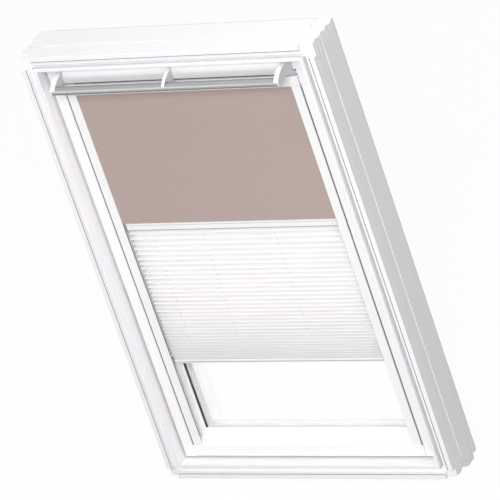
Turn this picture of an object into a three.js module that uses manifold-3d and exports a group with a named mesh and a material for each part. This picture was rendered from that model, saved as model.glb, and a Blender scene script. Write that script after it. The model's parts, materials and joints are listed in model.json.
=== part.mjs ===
// A centre-pivot roof window with its two-cloth blind: a finger-jointed wooden frame, a sash that
// turns at mid height, a ventilation flap with a control bar, and a blackout roller cloth above a
// pleated cloth that share two guide rails. Millimetres, X across, Y out of the room, Z up.
// "Edge" is measured inwards from the frame's outside, "depth" from its front-most plane.
import * as THREE from "three";
import { mergeVertices } from "three/addons/utils/BufferGeometryUtils.js";
import Module from "manifold-3d";

const wasm = await Module();
wasm.setup();

// Clearances shared by all pieces
const seatGap = 0.3;
const cutOverrun = 1;
const arcSteps = 3;
const roundSides = 24;

// Wooden frame
const frameWidth = 780;
const frameHeight = 1178;
const frameMember = 40;
const frameDepth = 110;
const frameEdge = 2;
const fingerWidth = 14.35;
const firstFinger = 10;
const fingerChamfer = 4;
const hornLength = 11;
const hornWidth = 38;
const hornInset = 54;
const hornEdge = 4;
const hornHousing = 3;
const feltGrooveDepth = 36;
const feltGrooveWidth = 5;
const feltGrooveCut = 3;

// Lining trim on the front of the frame
const trimProud = 12;
const trimLip = 15.4;
const trimLineEdge = 12;
const trimLineWidth = 1.9;
const trimLineCut = 3;
const trimRim = 8;
const trimFloor = 2;
const trimEdge = 1.2;
const trimEndTop = 33;
const trimEndBottom = 25;

// Aluminium covers outside
const coverThick = 1;
const coverInset = 1;
const coverReturn = 9;

// Sash
const sashGap = 6;
const sashFace = 29;
const sashRecess = 28;
const sashDepth = 68;
const sashEdge = 2;
const bevelDepth = 38;
const bevelRun = 27;
const glazingLand = 4;
const rebateWidth = 38;
const railShelfRun = 15;

// Glazing unit
const paneThick = 4;
const cavity = 15;
const paneCover = 14;
const spacerWidth = 16;
const spacerSet = 6;
const gasketLip = 3.7;
const gasketRise = 3.5;
const gasketFin = 0.7;

// Pivot hinges
const pivotDepth = 62;
const pivotPinRadius = 7;
const pivotPinBite = 12;
const pivotPlateLength = 90;
const pivotPlateWidth = 24;
const pivotPlateThick = 2;
const pivotRunning = 0.5;

// Seals in the gap round the sash
const sealThick = 4.2;
const sealWidth = 8;
const sealSetIn = 26;
const sealPivotKeep = 60;

// Guide rails of the blind
const railWidth = 23;
const railDepth = 25;
const railSideGap = 4;
const railFront = 2.5;
const railBack = 4;
const railSlotCut = 12;
const railEdge = 1;

// Head cassette and roller
const cassetteHeight = 27;
const cassetteDepth = 25;
const cassetteDrop = 94;
const cassetteWall = 1.2;
const cassetteEdge = 4;
const cassetteMouth = 9;
const cassetteCap = 5;
const rollerRadius = 5.5;
const rolledRadius = 9.5;
const rollerSetBack = 13.3;
const rollerWall = 1;
const rollerPinRadius = 2.5;
const rollerPlug = 14;
const rollerEndGap = 3;

// Blackout cloth, its bottom bar and the pleated cloth's top bar
const clothThick = 0.8;
const clothTuck = 6;
const blackoutDrop = 354;
const barSetBack = 6;
const barDepth = 12;
const barWall = 1.4;
const barEdge = 1.5;
const barEndGap = 5;
const blackoutBarHeight = 13;
const barSplit = 3;
const pleatTopHeight = 7;
const pleatBottomHeight = 10;
const sliderThick = 9;
const sliderPlay = 0.4;
const sliderTongue = 6;

// Pleated cloth
const pleatDrop = 361;
const pleatCount = 33;
const pleatTopShare = 1.38;
const pleatFold = 16;
const pleatThick = 3;
const pleatSideGap = 2.5;
const pleatSetBack = 5;

// Ventilation flap, control bar and the arms that join them
const flapBottom = 78;
const flapTop = 47;
const flapFront = 9;
const flapSweep = 5;
const flapWall = 1.8;
const flapReach = 15;
const flapSideGap = 11.4;
const armThick = 12;
const armMiddleThick = 8;
const armCrown = 50.6;
const armCrownDepth = 2;
const armBow = 4.6;
const armTipRise = 4.7;
const armTipSkin = 1.4;
const armHeelFall = 9.7;
const armHeelSkin = 1;
const armArchDepth = 2;
const armArchDrop = 75.2;
const armCorner = 2;
const armFlare = 6.9;
const armFlareDepth = 1;
const armHeadGap = 0.6;
const armCapWall = 3;
const flapPivotDepth = 33;
const flapPivotDrop = 86;
const flapEar = 5.4;
const flapEarLean = Math.PI / 6;
const flapPinRadius = 2.5;
const flapPinBite = 8;
const tubeRadius = 10;
const tubeWall = 1.5;
const tubeAhead = 28;
const tubeDrop = 74.5;

// Filter behind the flap
const filterThick = 5.5;
const filterHeight = 20;
const filterSideGap = 24;

// Lock in the head of the sash
const lockHalfLength = 40;
const lockDepth = 20;
const lockHeight = 22;
const lockWall = 1.5;
const lockSetBack = 8;
const lockPlateThick = 1.4;
const lockPlateLap = 12;
const latchHalfWidth = 15;
const latchThick = 8;
const latchHeight = 18;
const latchThrow = 10;
const latchPlay = 0.5;
const strikerThick = 2;
const strikerLap = 16;

// Places worked out from the sizes above
const halfWidth = frameWidth / 2;
const totalDepth = trimProud + frameDepth + seatGap + coverThick;
const woodFront = trimProud;
const woodBack = trimProud + frameDepth;
const sashEdgeOut = frameMember + sashGap;
const sashEdgeIn = sashEdgeOut + sashFace;
const sashBack = sashRecess + sashDepth;
const bevelEdge = sashEdgeIn + bevelRun;
const bevelBack = sashRecess + bevelDepth;
const bevelSlope = bevelRun / bevelDepth;
const glassFront = bevelBack + glazingLand + gasketFin + 2 * seatGap;
const outerPaneFront = glassFront + paneThick + cavity + 2 * seatGap;
const glassBack = outerPaneFront + paneThick;
const glassEdge = bevelEdge - paneCover;
const sashMiddle = frameHeight / 2;
const railEdgeOut = sashEdgeIn + railSideGap;
const railEdgeIn = railEdgeOut + railWidth;
const railBackPlane = sashRecess + railDepth;
const slotFront = sashRecess + railFront;
const slotBack = railBackPlane - railBack;
const cassetteTop = frameHeight - cassetteDrop;
const cassetteBottom = cassetteTop - cassetteHeight;
const cassetteHalf = halfWidth - railEdgeOut - cassetteCap - seatGap;
const rollerDepth = sashRecess + rollerSetBack;
const rollerZ = cassetteTop - cassetteHeight / 2;
const clothDepth = rollerDepth - rolledRadius;
const blackoutBarTop = cassetteBottom - blackoutDrop;
const pleatTopTop = blackoutBarTop - blackoutBarHeight - barSplit;
const pleatTopBottom = pleatTopTop - pleatTopHeight;
const pleatBarTop = pleatTopBottom - pleatDrop;
const barHalf = halfWidth - railEdgeIn - barEndGap;
const barFront = sashRecess + barSetBack;
const sashTop = frameHeight - sashEdgeOut;
const tubeZ = frameHeight - tubeDrop;
const flapPivotZ = frameHeight - flapPivotDrop;
const flapHalfLength = halfWidth - sashEdgeIn - flapSideGap;
const armInner = flapHalfLength - armThick;

// Depth from the front-most plane as a Y coordinate.
const yAt = (depth) => depth - totalDepth / 2;

// The four sides of the window: (edge, depth, along) to a point.
const onLeft = (edge, depth, along) => [edge - halfWidth, yAt(depth), along];
const onRight = (edge, depth, along) => [halfWidth - edge, yAt(depth), along];
const onBottom = (edge, depth, along) => [along, yAt(depth), edge];
const onTop = (edge, depth, along) => [along, yAt(depth), frameHeight - edge];
// A profile seen from the side, (depth, z), run across the window.
const across = (depth, z, x) => [x, yAt(depth), z];
// A plan outline, (x, depth), run upwards.
const upwards = (x, depth, z) => [x, yAt(depth), z];

const SIDES = [
  { name: "left", place: onLeft, length: frameHeight, upright: true },
  { name: "right", place: onRight, length: frameHeight, upright: true },
  { name: "top", place: onTop, length: frameWidth, upright: false },
  { name: "bottom", place: onBottom, length: frameWidth, upright: false },
];

// Where a side starts along its own run, and how far its far end lies from there.
const startOf = (side) => (side.upright ? 0 : -halfWidth);
const endOf = (side) => startOf(side) + side.length;

// A closed outline from corners [u, v] or, with a rounding, [u, v, radius].
function outline(corners) {
  const shape = new THREE.Shape();
  const at = (i) => new THREE.Vector2(...corners[(i + corners.length) % corners.length]);
  corners.forEach((corner, i) => {
    const here = at(i);
    const radius = corner[2] ?? 0;
    const inward = at(i - 1).sub(here).setLength(radius).add(here);
    const outward = at(i + 1).sub(here).setLength(radius).add(here);
    if (i === 0) shape.moveTo(inward.x, inward.y);
    else shape.lineTo(inward.x, inward.y);
    if (radius > 0) shape.quadraticCurveTo(here.x, here.y, outward.x, outward.y);
  });
  shape.closePath();
  return shape;
}

// Corners of a rectangle, all with the same rounding.
function rectangle(u0, v0, u1, v1, radius = 0) {
  return [[u0, v0, radius], [u1, v0, radius], [u1, v1, radius], [u0, v1, radius]];
}

// Points of a circle, or of the part of it from one angle to another.
function arc(u, v, radius, from = 0, to = 2 * Math.PI, steps = roundSides) {
  const whole = to - from >= 2 * Math.PI;
  return Array.from({ length: whole ? steps : steps + 1 }, (_, i) => {
    const angle = from + ((to - from) * i) / steps;
    return [u + radius * Math.cos(angle), v + radius * Math.sin(angle)];
  });
}

// The volume that a closed geometry holds, negative when its faces point inwards.
function signedVolume(geometry) {
  const [a, b, c] = [new THREE.Vector3(), new THREE.Vector3(), new THREE.Vector3()];
  const index = geometry.index.array;
  const positions = geometry.attributes.position;
  let six = 0;
  for (let i = 0; i < index.length; i += 3) {
    a.fromBufferAttribute(positions, index[i]);
    b.fromBufferAttribute(positions, index[i + 1]);
    c.fromBufferAttribute(positions, index[i + 2]);
    six += a.dot(b.cross(c));
  }
  return six / 6;
}

// Merges shared corners and turns the faces outwards.
function closed(geometry) {
  const bare = new THREE.BufferGeometry();
  bare.setAttribute("position", geometry.getAttribute("position"));
  if (geometry.index) bare.setIndex(geometry.index);
  const merged = mergeVertices(bare);
  if (signedVolume(merged) < 0) merged.index.array.reverse();
  return merged;
}

// Runs an outline (u, v), with or without holes, from one station to another. A station is a
// number, or a rule that gives it from (u, v) for a mitred or slanted end.
function prism(corners, from, to, place, holes = []) {
  const shape = outline(corners);
  holes.forEach((hole) => shape.holes.push(outline(hole)));
  const geometry = new THREE.ExtrudeGeometry(shape, {
    depth: 1,
    bevelEnabled: false,
    curveSegments: arcSteps,
  });
  const positions = geometry.attributes.position;
  const station = (end, u, v) => (typeof end === "function" ? end(u, v) : end);
  for (let i = 0; i < positions.count; i += 1) {
    const [u, v] = [positions.getX(i), positions.getY(i)];
    const w = station(positions.getZ(i) > 0 ? to : from, u, v);
    positions.setXYZ(i, ...place(u, v, w));
  }
  return closed(geometry);
}

// A plain box from its lowest to its highest corner, in edge-free coordinates (x, depth, z).
function block(x0, depth0, z0, x1, depth1, z1) {
  return prism(rectangle(x0, depth0, x1, depth1), z0, z1, upwards);
}

// A round bar along X, centred on (depth, z).
function rod(radius, depth, z, x0, x1) {
  return prism(arc(depth, z, radius), x0, x1, across);
}

const toSolid = (geometry) =>
  new wasm.Manifold(
    new wasm.Mesh({
      numProp: 3,
      vertProperties: geometry.attributes.position.array,
      triVerts: new Uint32Array(geometry.index.array),
    }),
  );

function toGeometry(solid) {
  const mesh = solid.getMesh();
  const geometry = new THREE.BufferGeometry();
  geometry.setAttribute("position", new THREE.BufferAttribute(mesh.vertProperties, 3));
  geometry.setIndex(new THREE.BufferAttribute(mesh.triVerts, 1));
  return geometry;
}

const joined = (...geometries) =>
  toGeometry(geometries.map(toSolid).reduce((whole, solid) => whole.add(solid)));

const cutFrom = (geometry, ...cutters) =>
  toGeometry(cutters.map(toSolid).reduce((whole, solid) => whole.subtract(solid), toSolid(geometry)));

// Finishes
const finish = (color, roughness, metalness = 0, opacity = 1) =>
  new THREE.MeshStandardMaterial({
    color,
    roughness,
    metalness,
    opacity,
    transparent: opacity < 1,
  });
const whiteLacquer = finish(0xf4f2f3, 0.35);
const whiteTrim = finish(0xfbfafb, 0.4);
const whiteAluminium = finish(0xf6f5f6, 0.35, 0.1);
const greyPlastic = finish(0xc9c8ca, 0.45);
const brushedAluminium = finish(0xb9babc, 0.3, 1);
const coverAluminium = finish(0x5c6064, 0.5, 0.6);
const steel = finish(0x9a9c9f, 0.35, 1);
const blackRubber = finish(0x2c2b2d, 0.8);
const clearGlass = finish(0xeef4f4, 0.05, 0, 0.25);
const blackoutCloth = finish(0xb4a39d, 0.85);
const pleatCloth = finish(0xf3f1ee, 0.8);
const foam = finish(0x8d8d8a, 0.95);

// Adds a named piece to a sub-assembly, its own origin at the middle of its box.
function add(parent, name, geometry, material) {
  geometry.computeBoundingBox();
  const middle = geometry.boundingBox.getCenter(new THREE.Vector3());
  geometry.translate(-middle.x, -middle.y, -middle.z);
  geometry.computeVertexNormals();
  const mesh = new THREE.Mesh(geometry, material);
  mesh.name = name;
  mesh.position.copy(middle);
  parent.add(mesh);
}

// The frame's four members, finger-jointed at the corners. The upright members hold the odd
// fingers and end in horns below the bottom member.
function frameMemberSection() {
  const grooveFront = woodFront + feltGrooveDepth;
  return [
    [0, woodFront, frameEdge],
    [frameMember, woodFront, frameEdge],
    [frameMember, woodBack],
    [0, woodBack, frameEdge],
    [0, grooveFront + feltGrooveWidth],
    [feltGrooveCut, grooveFront + feltGrooveWidth],
    [feltGrooveCut, grooveFront],
    [0, grooveFront],
  ];
}

// Depths of the seams between fingers, from the front of the wood to its back.
const fingerSeams = [woodFront];
for (
  let seam = woodFront + firstFinger;
  seam < woodBack - fingerWidth / 2;
  seam += fingerWidth
) {
  fingerSeams.push(seam);
}
fingerSeams.push(woodBack);

// The slots that make room for the other member's fingers at one end of a member.
function fingerSlots(side, first, atEnd, slotLength) {
  const slots = [];
  const last = fingerSeams.length - 2;
  for (let i = first; i <= last; i += 2) {
    const section = rectangle(
      -cutOverrun,
      fingerSeams[i] - (i === 0 ? cutOverrun : seatGap / 2),
      frameMember + cutOverrun,
      fingerSeams[i + 1] + (i === last ? cutOverrun : seatGap / 2),
    );
    const near = atEnd ? endOf(side) - slotLength : startOf(side) - cutOverrun;
    const far = atEnd ? endOf(side) + cutOverrun : startOf(side) + slotLength;
    slots.push(prism(section, near, far, side.place));
  }
  return slots;
}

// The chamfer across the finger tips of a member between the jambs.
function fingerChamfers(side) {
  return [
    [startOf(side), 1],
    [endOf(side), -1],
  ].map(([tip, inward]) => {
    const corner = [
      [-cutOverrun, tip - inward * cutOverrun],
      [fingerChamfer + cutOverrun, tip - inward * cutOverrun],
      [-cutOverrun, tip + inward * (fingerChamfer + cutOverrun)],
    ];
    const place = (edge, along, depth) => side.place(edge, depth, along);
    return prism(corner, woodFront - cutOverrun, woodBack + cutOverrun, place);
  });
}

// The horn that the jamb stands on: one finger runs on below the sill and widens into it.
function horn(side) {
  const front = woodFront + hornInset;
  const profile = [
    [front, -hornLength, hornEdge],
    [front + hornWidth, -hornLength, hornEdge],
    [front + hornWidth, hornHousing - seatGap],
    [front, hornHousing - seatGap],
  ];
  const carrier = fingerSeams.findIndex((seam, i) => i % 2 === 1 && seam > front);
  const neck = rectangle(
    fingerSeams[carrier] + seatGap / 2,
    -hornLength / 2,
    fingerSeams[carrier + 1] - seatGap / 2,
    frameMember / 2,
  );
  const place = (depth, z, edge) => side.place(edge, depth, z);
  return joined(prism(profile, 0, frameMember, place), prism(neck, 0, frameMember, place));
}

// The housings in the sill's underside that the horns fit.
function hornHousings() {
  const front = woodFront + hornInset - seatGap;
  const back = front + hornWidth + 2 * seatGap;
  const inner = halfWidth - frameMember - seatGap;
  const outer = halfWidth + cutOverrun;
  return [
    block(-outer, front, -cutOverrun, -inner, back, hornHousing),
    block(inner, front, -cutOverrun, outer, back, hornHousing),
  ];
}

function buildFrame(frame) {
  const slotLength = frameMember + seatGap;
  const pocketDepth = sashRecess + lockSetBack;
  for (const side of SIDES) {
    const first = side.upright ? 0 : 1;
    const run = prism(frameMemberSection(), startOf(side), endOf(side), side.place);
    const cutters = [
      ...fingerSlots(side, first, false, slotLength),
      ...fingerSlots(side, first, true, slotLength),
      ...(side.upright ? [] : fingerChamfers(side)),
      ...(side.name === "bottom" ? hornHousings() : []),
    ];
    if (side.name === "top") {
      const half = latchHalfWidth + latchPlay;
      const low = frameHeight - frameMember;
      const middle = pocketDepth + lockDepth / 2;
      const deep = latchThick / 2 + latchPlay;
      const high = low + latchThrow;
      cutters.push(block(-half, middle - deep, low - cutOverrun, half, middle + deep, high));
    }
    const slotted = cutFrom(run, ...cutters);
    const member = side.upright ? joined(slotted, horn(side)) : slotted;
    add(frame, `frame_${side.name}`, member, whiteLacquer);
  }
}

// The lining trim: a channel whose lip, with a fine line let into it, stops short of the corner
// blocks, and whose inner rim runs on to a mitre.
function buildTrim(frame) {
  const back = trimProud - seatGap;
  const floor = back - trimFloor;
  const rimEdge = frameMember - trimRim;
  const channel = [
    [0, back],
    [0, 0, trimEdge],
    [trimLineEdge, 0],
    [trimLineEdge, trimLineCut],
    [trimLineEdge + trimLineWidth, trimLineCut],
    [trimLineEdge + trimLineWidth, 0],
    [trimLip, 0],
    [trimLip, floor],
    [rimEdge, floor],
    [rimEdge, 0, trimEdge],
    [frameMember, 0, trimEdge],
    [frameMember, back],
  ];
  const cutAt = (side, atEnd, fromEdge, stop) => {
    const section = rectangle(fromEdge, -cutOverrun, rimEdge, back + cutOverrun);
    const near = atEnd ? endOf(side) - stop : startOf(side) - cutOverrun;
    const far = atEnd ? endOf(side) + cutOverrun : startOf(side) + stop;
    return prism(section, near, far, side.place);
  };
  for (const side of SIDES) {
    const mitreStart = (edge) => startOf(side) + edge + seatGap;
    const mitreEnd = (edge) => endOf(side) - edge - seatGap;
    const whole = prism(channel, mitreStart, mitreEnd, side.place);
    const stopStart = side.name === "top" ? trimEndTop : trimEndBottom;
    const stopEnd = side.name === "bottom" ? trimEndBottom : trimEndTop;
    const cutters = [
      cutAt(side, false, -cutOverrun, stopStart),
      cutAt(side, true, -cutOverrun, stopEnd),
      cutAt(side, false, trimLip, trimEndTop),
      cutAt(side, true, trimLip, trimEndTop),
    ];
    add(frame, `lining_trim_${side.name}`, cutFrom(whole, ...cutters), whiteTrim);
  }
}

// Folded aluminium covers outside the frame, mitred at the corners.
function buildFrameCovers(frame) {
  const front = woodBack + seatGap;
  const section = [
    [coverInset, front],
    [frameMember - coverInset, front],
    [frameMember - coverInset, front + coverThick],
    [coverInset, front + coverThick],
  ];
  for (const side of SIDES) {
    const mitreStart = (edge) => startOf(side) + edge + seatGap;
    const mitreEnd = (edge) => endOf(side) - edge - seatGap;
    add(frame, `frame_cover_${side.name}`, prism(section, mitreStart, mitreEnd, side.place), coverAluminium);
  }
}

// The frame's half of a pivot hinge: a plate on the reveal with the pin that the sash turns on.
function buildFramePivots(frame) {
  const plateStart = frameMember + seatGap;
  const plateEnd = plateStart + pivotPlateThick;
  for (const side of SIDES.filter((each) => each.upright)) {
    const flat = (depth, z, edge) => side.place(edge, depth, z);
    const plate = prism(
      rectangle(
        pivotDepth - pivotPlateWidth / 2,
        sashMiddle - pivotPlateLength / 2,
        pivotDepth + pivotPlateWidth / 2,
        sashMiddle + pivotPlateLength / 2,
        pivotPlateWidth / 3,
      ),
      plateStart,
      plateEnd,
      flat,
    );
    const pin = prism(
      arc(pivotDepth, sashMiddle, pivotPinRadius),
      plateStart,
      sashEdgeOut + pivotPinBite,
      flat,
    );
    add(frame, `pivot_pin_${side.name}`, joined(plate, pin), steel);
  }
}

// Rubber seals on the reveal: outside round the upper half, inside round the lower half.
function buildSeals(frame) {
  const inner = frameMember + seatGap;
  const outer = inner + sealThick;
  const halves = [
    { name: "upper", depth: sashBack - sealSetIn, cross: onTop, low: sashMiddle + sealPivotKeep },
    { name: "lower", depth: sashRecess + sealSetIn - sealWidth * 2, cross: onBottom, low: 0 },
  ];
  for (const half of halves) {
    const section = [
      [inner, half.depth],
      [outer, half.depth, sealThick / 3],
      [outer, half.depth + sealWidth, sealThick / 3],
      [inner, half.depth + sealWidth],
    ];
    const upper = half.name === "upper";
    const from = upper ? sashMiddle + sealPivotKeep : inner;
    const to = upper ? frameHeight - inner : sashMiddle - sealPivotKeep;
    const mitre = (edge) => edge;
    const lowEnd = upper ? from : mitre;
    const highEnd = upper ? (edge) => frameHeight - edge : to;
    const left = prism(section, lowEnd, highEnd, onLeft);
    const right = prism(section, lowEnd, highEnd, onRight);
    const run = prism(section, (edge) => edge - halfWidth, (edge) => halfWidth - edge, half.cross);
    add(frame, `gap_seal_${half.name}`, joined(left, right, run), blackRubber);
  }
}

// The plate under the head of the frame that the latch goes into.
function buildStriker(frame) {
  const top = frameHeight - frameMember - seatGap;
  const half = latchHalfWidth + latchPlay;
  const middle = sashRecess + lockSetBack + lockDepth / 2;
  const deep = latchThick / 2 + latchPlay;
  const plate = block(
    -half - strikerLap,
    middle - lockDepth / 2,
    top - strikerThick,
    half + strikerLap,
    middle + lockDepth / 2,
    top,
  );
  const slot = block(
    -half,
    middle - deep,
    top - strikerThick - cutOverrun,
    half,
    middle + deep,
    top + cutOverrun,
  );
  add(frame, "lock_striker", cutFrom(plate, slot), steel);
}

// The sash: stiles of full height with a shelf for the guide rails, and a head and a sill between
// them with a slanted inner face down to the glass.
function buildSash(sash) {
  const rebate = sashEdgeOut + rebateWidth;
  const tail = [
    [bevelEdge, bevelBack],
    [bevelEdge, bevelBack + glazingLand],
    [rebate, bevelBack + glazingLand],
    [rebate, sashBack],
    [sashEdgeOut, sashBack, sashEdge],
  ];
  const crossSection = [[sashEdgeOut, sashRecess, sashEdge], [sashEdgeIn, sashRecess, sashEdge], ...tail];
  const shelf = railBackPlane + seatGap;
  const stileSection = [
    [sashEdgeOut, sashRecess, sashEdge],
    [sashEdgeIn, sashRecess, sashEdge],
    [sashEdgeIn, shelf],
    [sashEdgeIn + railShelfRun, shelf],
    ...tail,
  ];
  const boreRadius = pivotPinRadius + pivotRunning;
  for (const side of SIDES) {
    if (side.upright) {
      const flat = (depth, z, edge) => side.place(edge, depth, z);
      const stile = prism(stileSection, sashEdgeOut, sashTop, side.place);
      const pivotBore = prism(
        arc(pivotDepth, sashMiddle, boreRadius),
        sashEdgeOut - cutOverrun,
        sashEdgeOut + pivotPinBite + pivotRunning,
        flat,
      );
      const flapBore = prism(
        arc(flapPivotDepth, flapPivotZ, flapPinRadius + seatGap),
        sashEdgeIn - flapPinBite - seatGap,
        sashEdgeIn + cutOverrun,
        flat,
      );
      add(sash, `sash_stile_${side.name}`, cutFrom(stile, pivotBore, flapBore), whiteLacquer);
    } else {
      const rail = crossMember(crossSection, side.place);
      const name = side.name === "top" ? "sash_head" : "sash_sill";
      add(sash, name, side.name === "top" ? cutFrom(rail, lockPocket()) : rail, whiteLacquer);
    }
  }
}

// A member between the stiles, cut to their inner outline by taking the stiles' space away.
function crossMember(section, place) {
  const half = halfWidth - sashEdgeOut - sashEdge;
  const run = prism(section, -half, half, place);
  const shelf = railBackPlane + seatGap;
  const keepOut = (side) => {
    const far = sashEdgeIn + railShelfRun + seatGap;
    const rebate = sashEdgeOut + rebateWidth + seatGap;
    const space = [
      [0, sashRecess - cutOverrun],
      [sashEdgeIn + seatGap, sashRecess - cutOverrun],
      [sashEdgeIn + seatGap, shelf - seatGap],
      [far, shelf - seatGap],
      [bevelEdge + seatGap, bevelBack - seatGap],
      [bevelEdge + seatGap, bevelBack + glazingLand + seatGap],
      [rebate, bevelBack + glazingLand + seatGap],
      [rebate, sashBack + cutOverrun],
      [0, sashBack + cutOverrun],
    ];
    return prism(space, -cutOverrun, frameHeight + cutOverrun, side);
  };
  return cutFrom(run, keepOut(onLeft), keepOut(onRight));
}

// The pocket in the top of the sash's head that holds the lock.
function lockPocket() {
  const front = sashRecess + lockSetBack;
  const half = lockHalfLength + seatGap;
  const deep = block(
    -half,
    front - seatGap,
    sashTop - lockPlateThick - seatGap - lockHeight - 2 * seatGap,
    half,
    front + lockDepth + seatGap,
    sashTop + cutOverrun,
  );
  const lap = half + lockPlateLap;
  const shallow = block(
    -lap,
    front - lockWall - seatGap,
    sashTop - lockPlateThick - 2 * seatGap,
    lap,
    front + lockDepth + lockWall + seatGap,
    sashTop + cutOverrun,
  );
  return joined(deep, shallow);
}

// Two panes, the spacer between them and the gasket on the room side.
function buildGlazing(sash) {
  const high = frameHeight - glassEdge;
  const half = halfWidth - glassEdge;
  const pane = (front) => block(-half, front, glassEdge, half, front + paneThick, high);
  add(sash, "glass_inner_pane", pane(glassFront), clearGlass);
  add(sash, "glass_outer_pane", pane(outerPaneFront), clearGlass);

  const ring = (outer, inner, front, back) => {
    const whole = block(
      outer - halfWidth, front, outer, halfWidth - outer, back, frameHeight - outer,
    );
    const hole = block(
      inner - halfWidth,
      front - cutOverrun,
      inner,
      halfWidth - inner,
      back + cutOverrun,
      frameHeight - inner,
    );
    return cutFrom(whole, hole);
  };
  const spacerOuter = glassEdge + spacerSet;
  const spacerFront = glassFront + paneThick + seatGap;
  const spacer = ring(spacerOuter, spacerOuter + spacerWidth, spacerFront, spacerFront + cavity);
  add(sash, "glass_spacer", spacer, greyPlastic);

  const finFront = bevelBack + glazingLand + seatGap;
  const fin = ring(glassEdge, bevelEdge + gasketLip, finFront, finFront + gasketFin);
  const lipOuter = bevelEdge + seatGap;
  const lip = ring(lipOuter, lipOuter + gasketLip - seatGap, finFront - gasketRise, finFront + gasketFin);
  add(sash, "glazing_gasket", joined(fin, lip), blackRubber);
}

// Aluminium covers outside the sash, each with a return that closes the glazing rebate.
function buildSashCovers(sash) {
  const front = Math.max(glassBack, sashBack) + seatGap;
  const outer = sashEdgeOut + coverInset;
  const inner = glassEdge + coverReturn;
  const section = [
    [outer, front],
    [inner, front],
    [inner, front + coverThick],
    [outer, front + coverThick],
  ];
  for (const side of SIDES) {
    const mitreStart = (edge) => startOf(side) + edge + seatGap;
    const mitreEnd = (edge) => endOf(side) - edge - seatGap;
    add(sash, `sash_cover_${side.name}`, prism(section, mitreStart, mitreEnd, side.place), coverAluminium);
  }
}

// The sash's half of a pivot hinge: a plate with the hole that the pin runs in.
function buildSashPivots(sash) {
  const near = sashEdgeOut - seatGap - pivotPlateThick;
  for (const side of SIDES.filter((each) => each.upright)) {
    const flat = (depth, z, edge) => side.place(edge, depth, z);
    const plate = prism(
      rectangle(
        pivotDepth - pivotPlateWidth / 2,
        sashMiddle - pivotPlateLength / 2,
        pivotDepth + pivotPlateWidth / 2,
        sashMiddle + pivotPlateLength / 2,
        pivotPlateWidth / 3,
      ),
      near,
      near + pivotPlateThick,
      flat,
      [arc(pivotDepth, sashMiddle, pivotPinRadius + pivotRunning)],
    );
    add(sash, `pivot_plate_${side.name}`, plate, steel);
  }
}

// The lock: an open case in the pocket, a faceplate over it and the latch that slides through.
function buildLock(sash, latch) {
  const front = sashRecess + lockSetBack;
  const plateTop = sashTop - seatGap;
  const plateBottom = plateTop - lockPlateThick;
  const caseTop = plateBottom - seatGap;
  const caseBottom = caseTop - lockHeight;
  const hollow = block(
    -lockHalfLength + lockWall,
    front + lockWall,
    caseBottom + lockWall,
    lockHalfLength - lockWall,
    front + lockDepth - lockWall,
    caseTop + cutOverrun,
  );
  const body = block(-lockHalfLength, front, caseBottom, lockHalfLength, front + lockDepth, caseTop);
  add(sash, "lock_case", cutFrom(body, hollow), steel);

  const middle = front + lockDepth / 2;
  const lap = lockHalfLength + lockPlateLap;
  const plate = block(
    -lap, front - lockWall, plateBottom, lap, front + lockDepth + lockWall, plateTop,
  );
  const half = latchHalfWidth + seatGap;
  const deep = latchThick / 2 + seatGap;
  const slot = block(
    -half, middle - deep, plateBottom - cutOverrun, half, middle + deep, plateTop + cutOverrun,
  );
  add(sash, "lock_faceplate", cutFrom(plate, slot), steel);

  const latchTop = frameHeight - frameMember + latchThrow - sashGap + latchPlay;
  const nose = [
    [middle - latchThick / 2, latchTop - latchHeight],
    [middle + latchThick / 2, latchTop - latchHeight],
    [middle + latchThick / 2, latchTop, latchThick / 4],
    [middle - latchThick / 2, latchTop, latchThick / 4],
  ];
  add(latch, "latch", prism(nose, -latchHalfWidth, latchHalfWidth, across), steel);
}

// The foam filter on the head of the sash, behind the flap.
function buildFilter(sash) {
  const back = sashRecess - seatGap;
  const half = armInner - filterSideGap;
  const high = sashTop - filterHeight / 4;
  const strip = rectangle(back - filterThick, high - filterHeight, back, high, filterThick / 4);
  add(sash, "vent_filter", prism(strip, -half, half, across), foam);
}

// A guide rail: a slotted profile on the stile's shelf, its foot cut to the sill's slant.
function buildGuideRails(sash) {
  const slotEnd = railEdgeIn - railSlotCut;
  const section = [
    [railEdgeOut, sashRecess, railEdge],
    [railEdgeIn, sashRecess, railEdge],
    [railEdgeIn, slotFront],
    [slotEnd, slotFront],
    [slotEnd, slotBack],
    [railEdgeIn, slotBack],
    [railEdgeIn, railBackPlane],
    [railEdgeOut, railBackPlane],
  ];
  const foot = (edge, depth) => sashEdgeIn + (depth - sashRecess) * bevelSlope + 2 * seatGap;
  for (const side of SIDES.filter((each) => each.upright)) {
    const rail = prism(section, foot, cassetteBottom - seatGap, side.place);
    add(sash, `guide_rail_${side.name}`, rail, whiteAluminium);
  }
}

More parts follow.
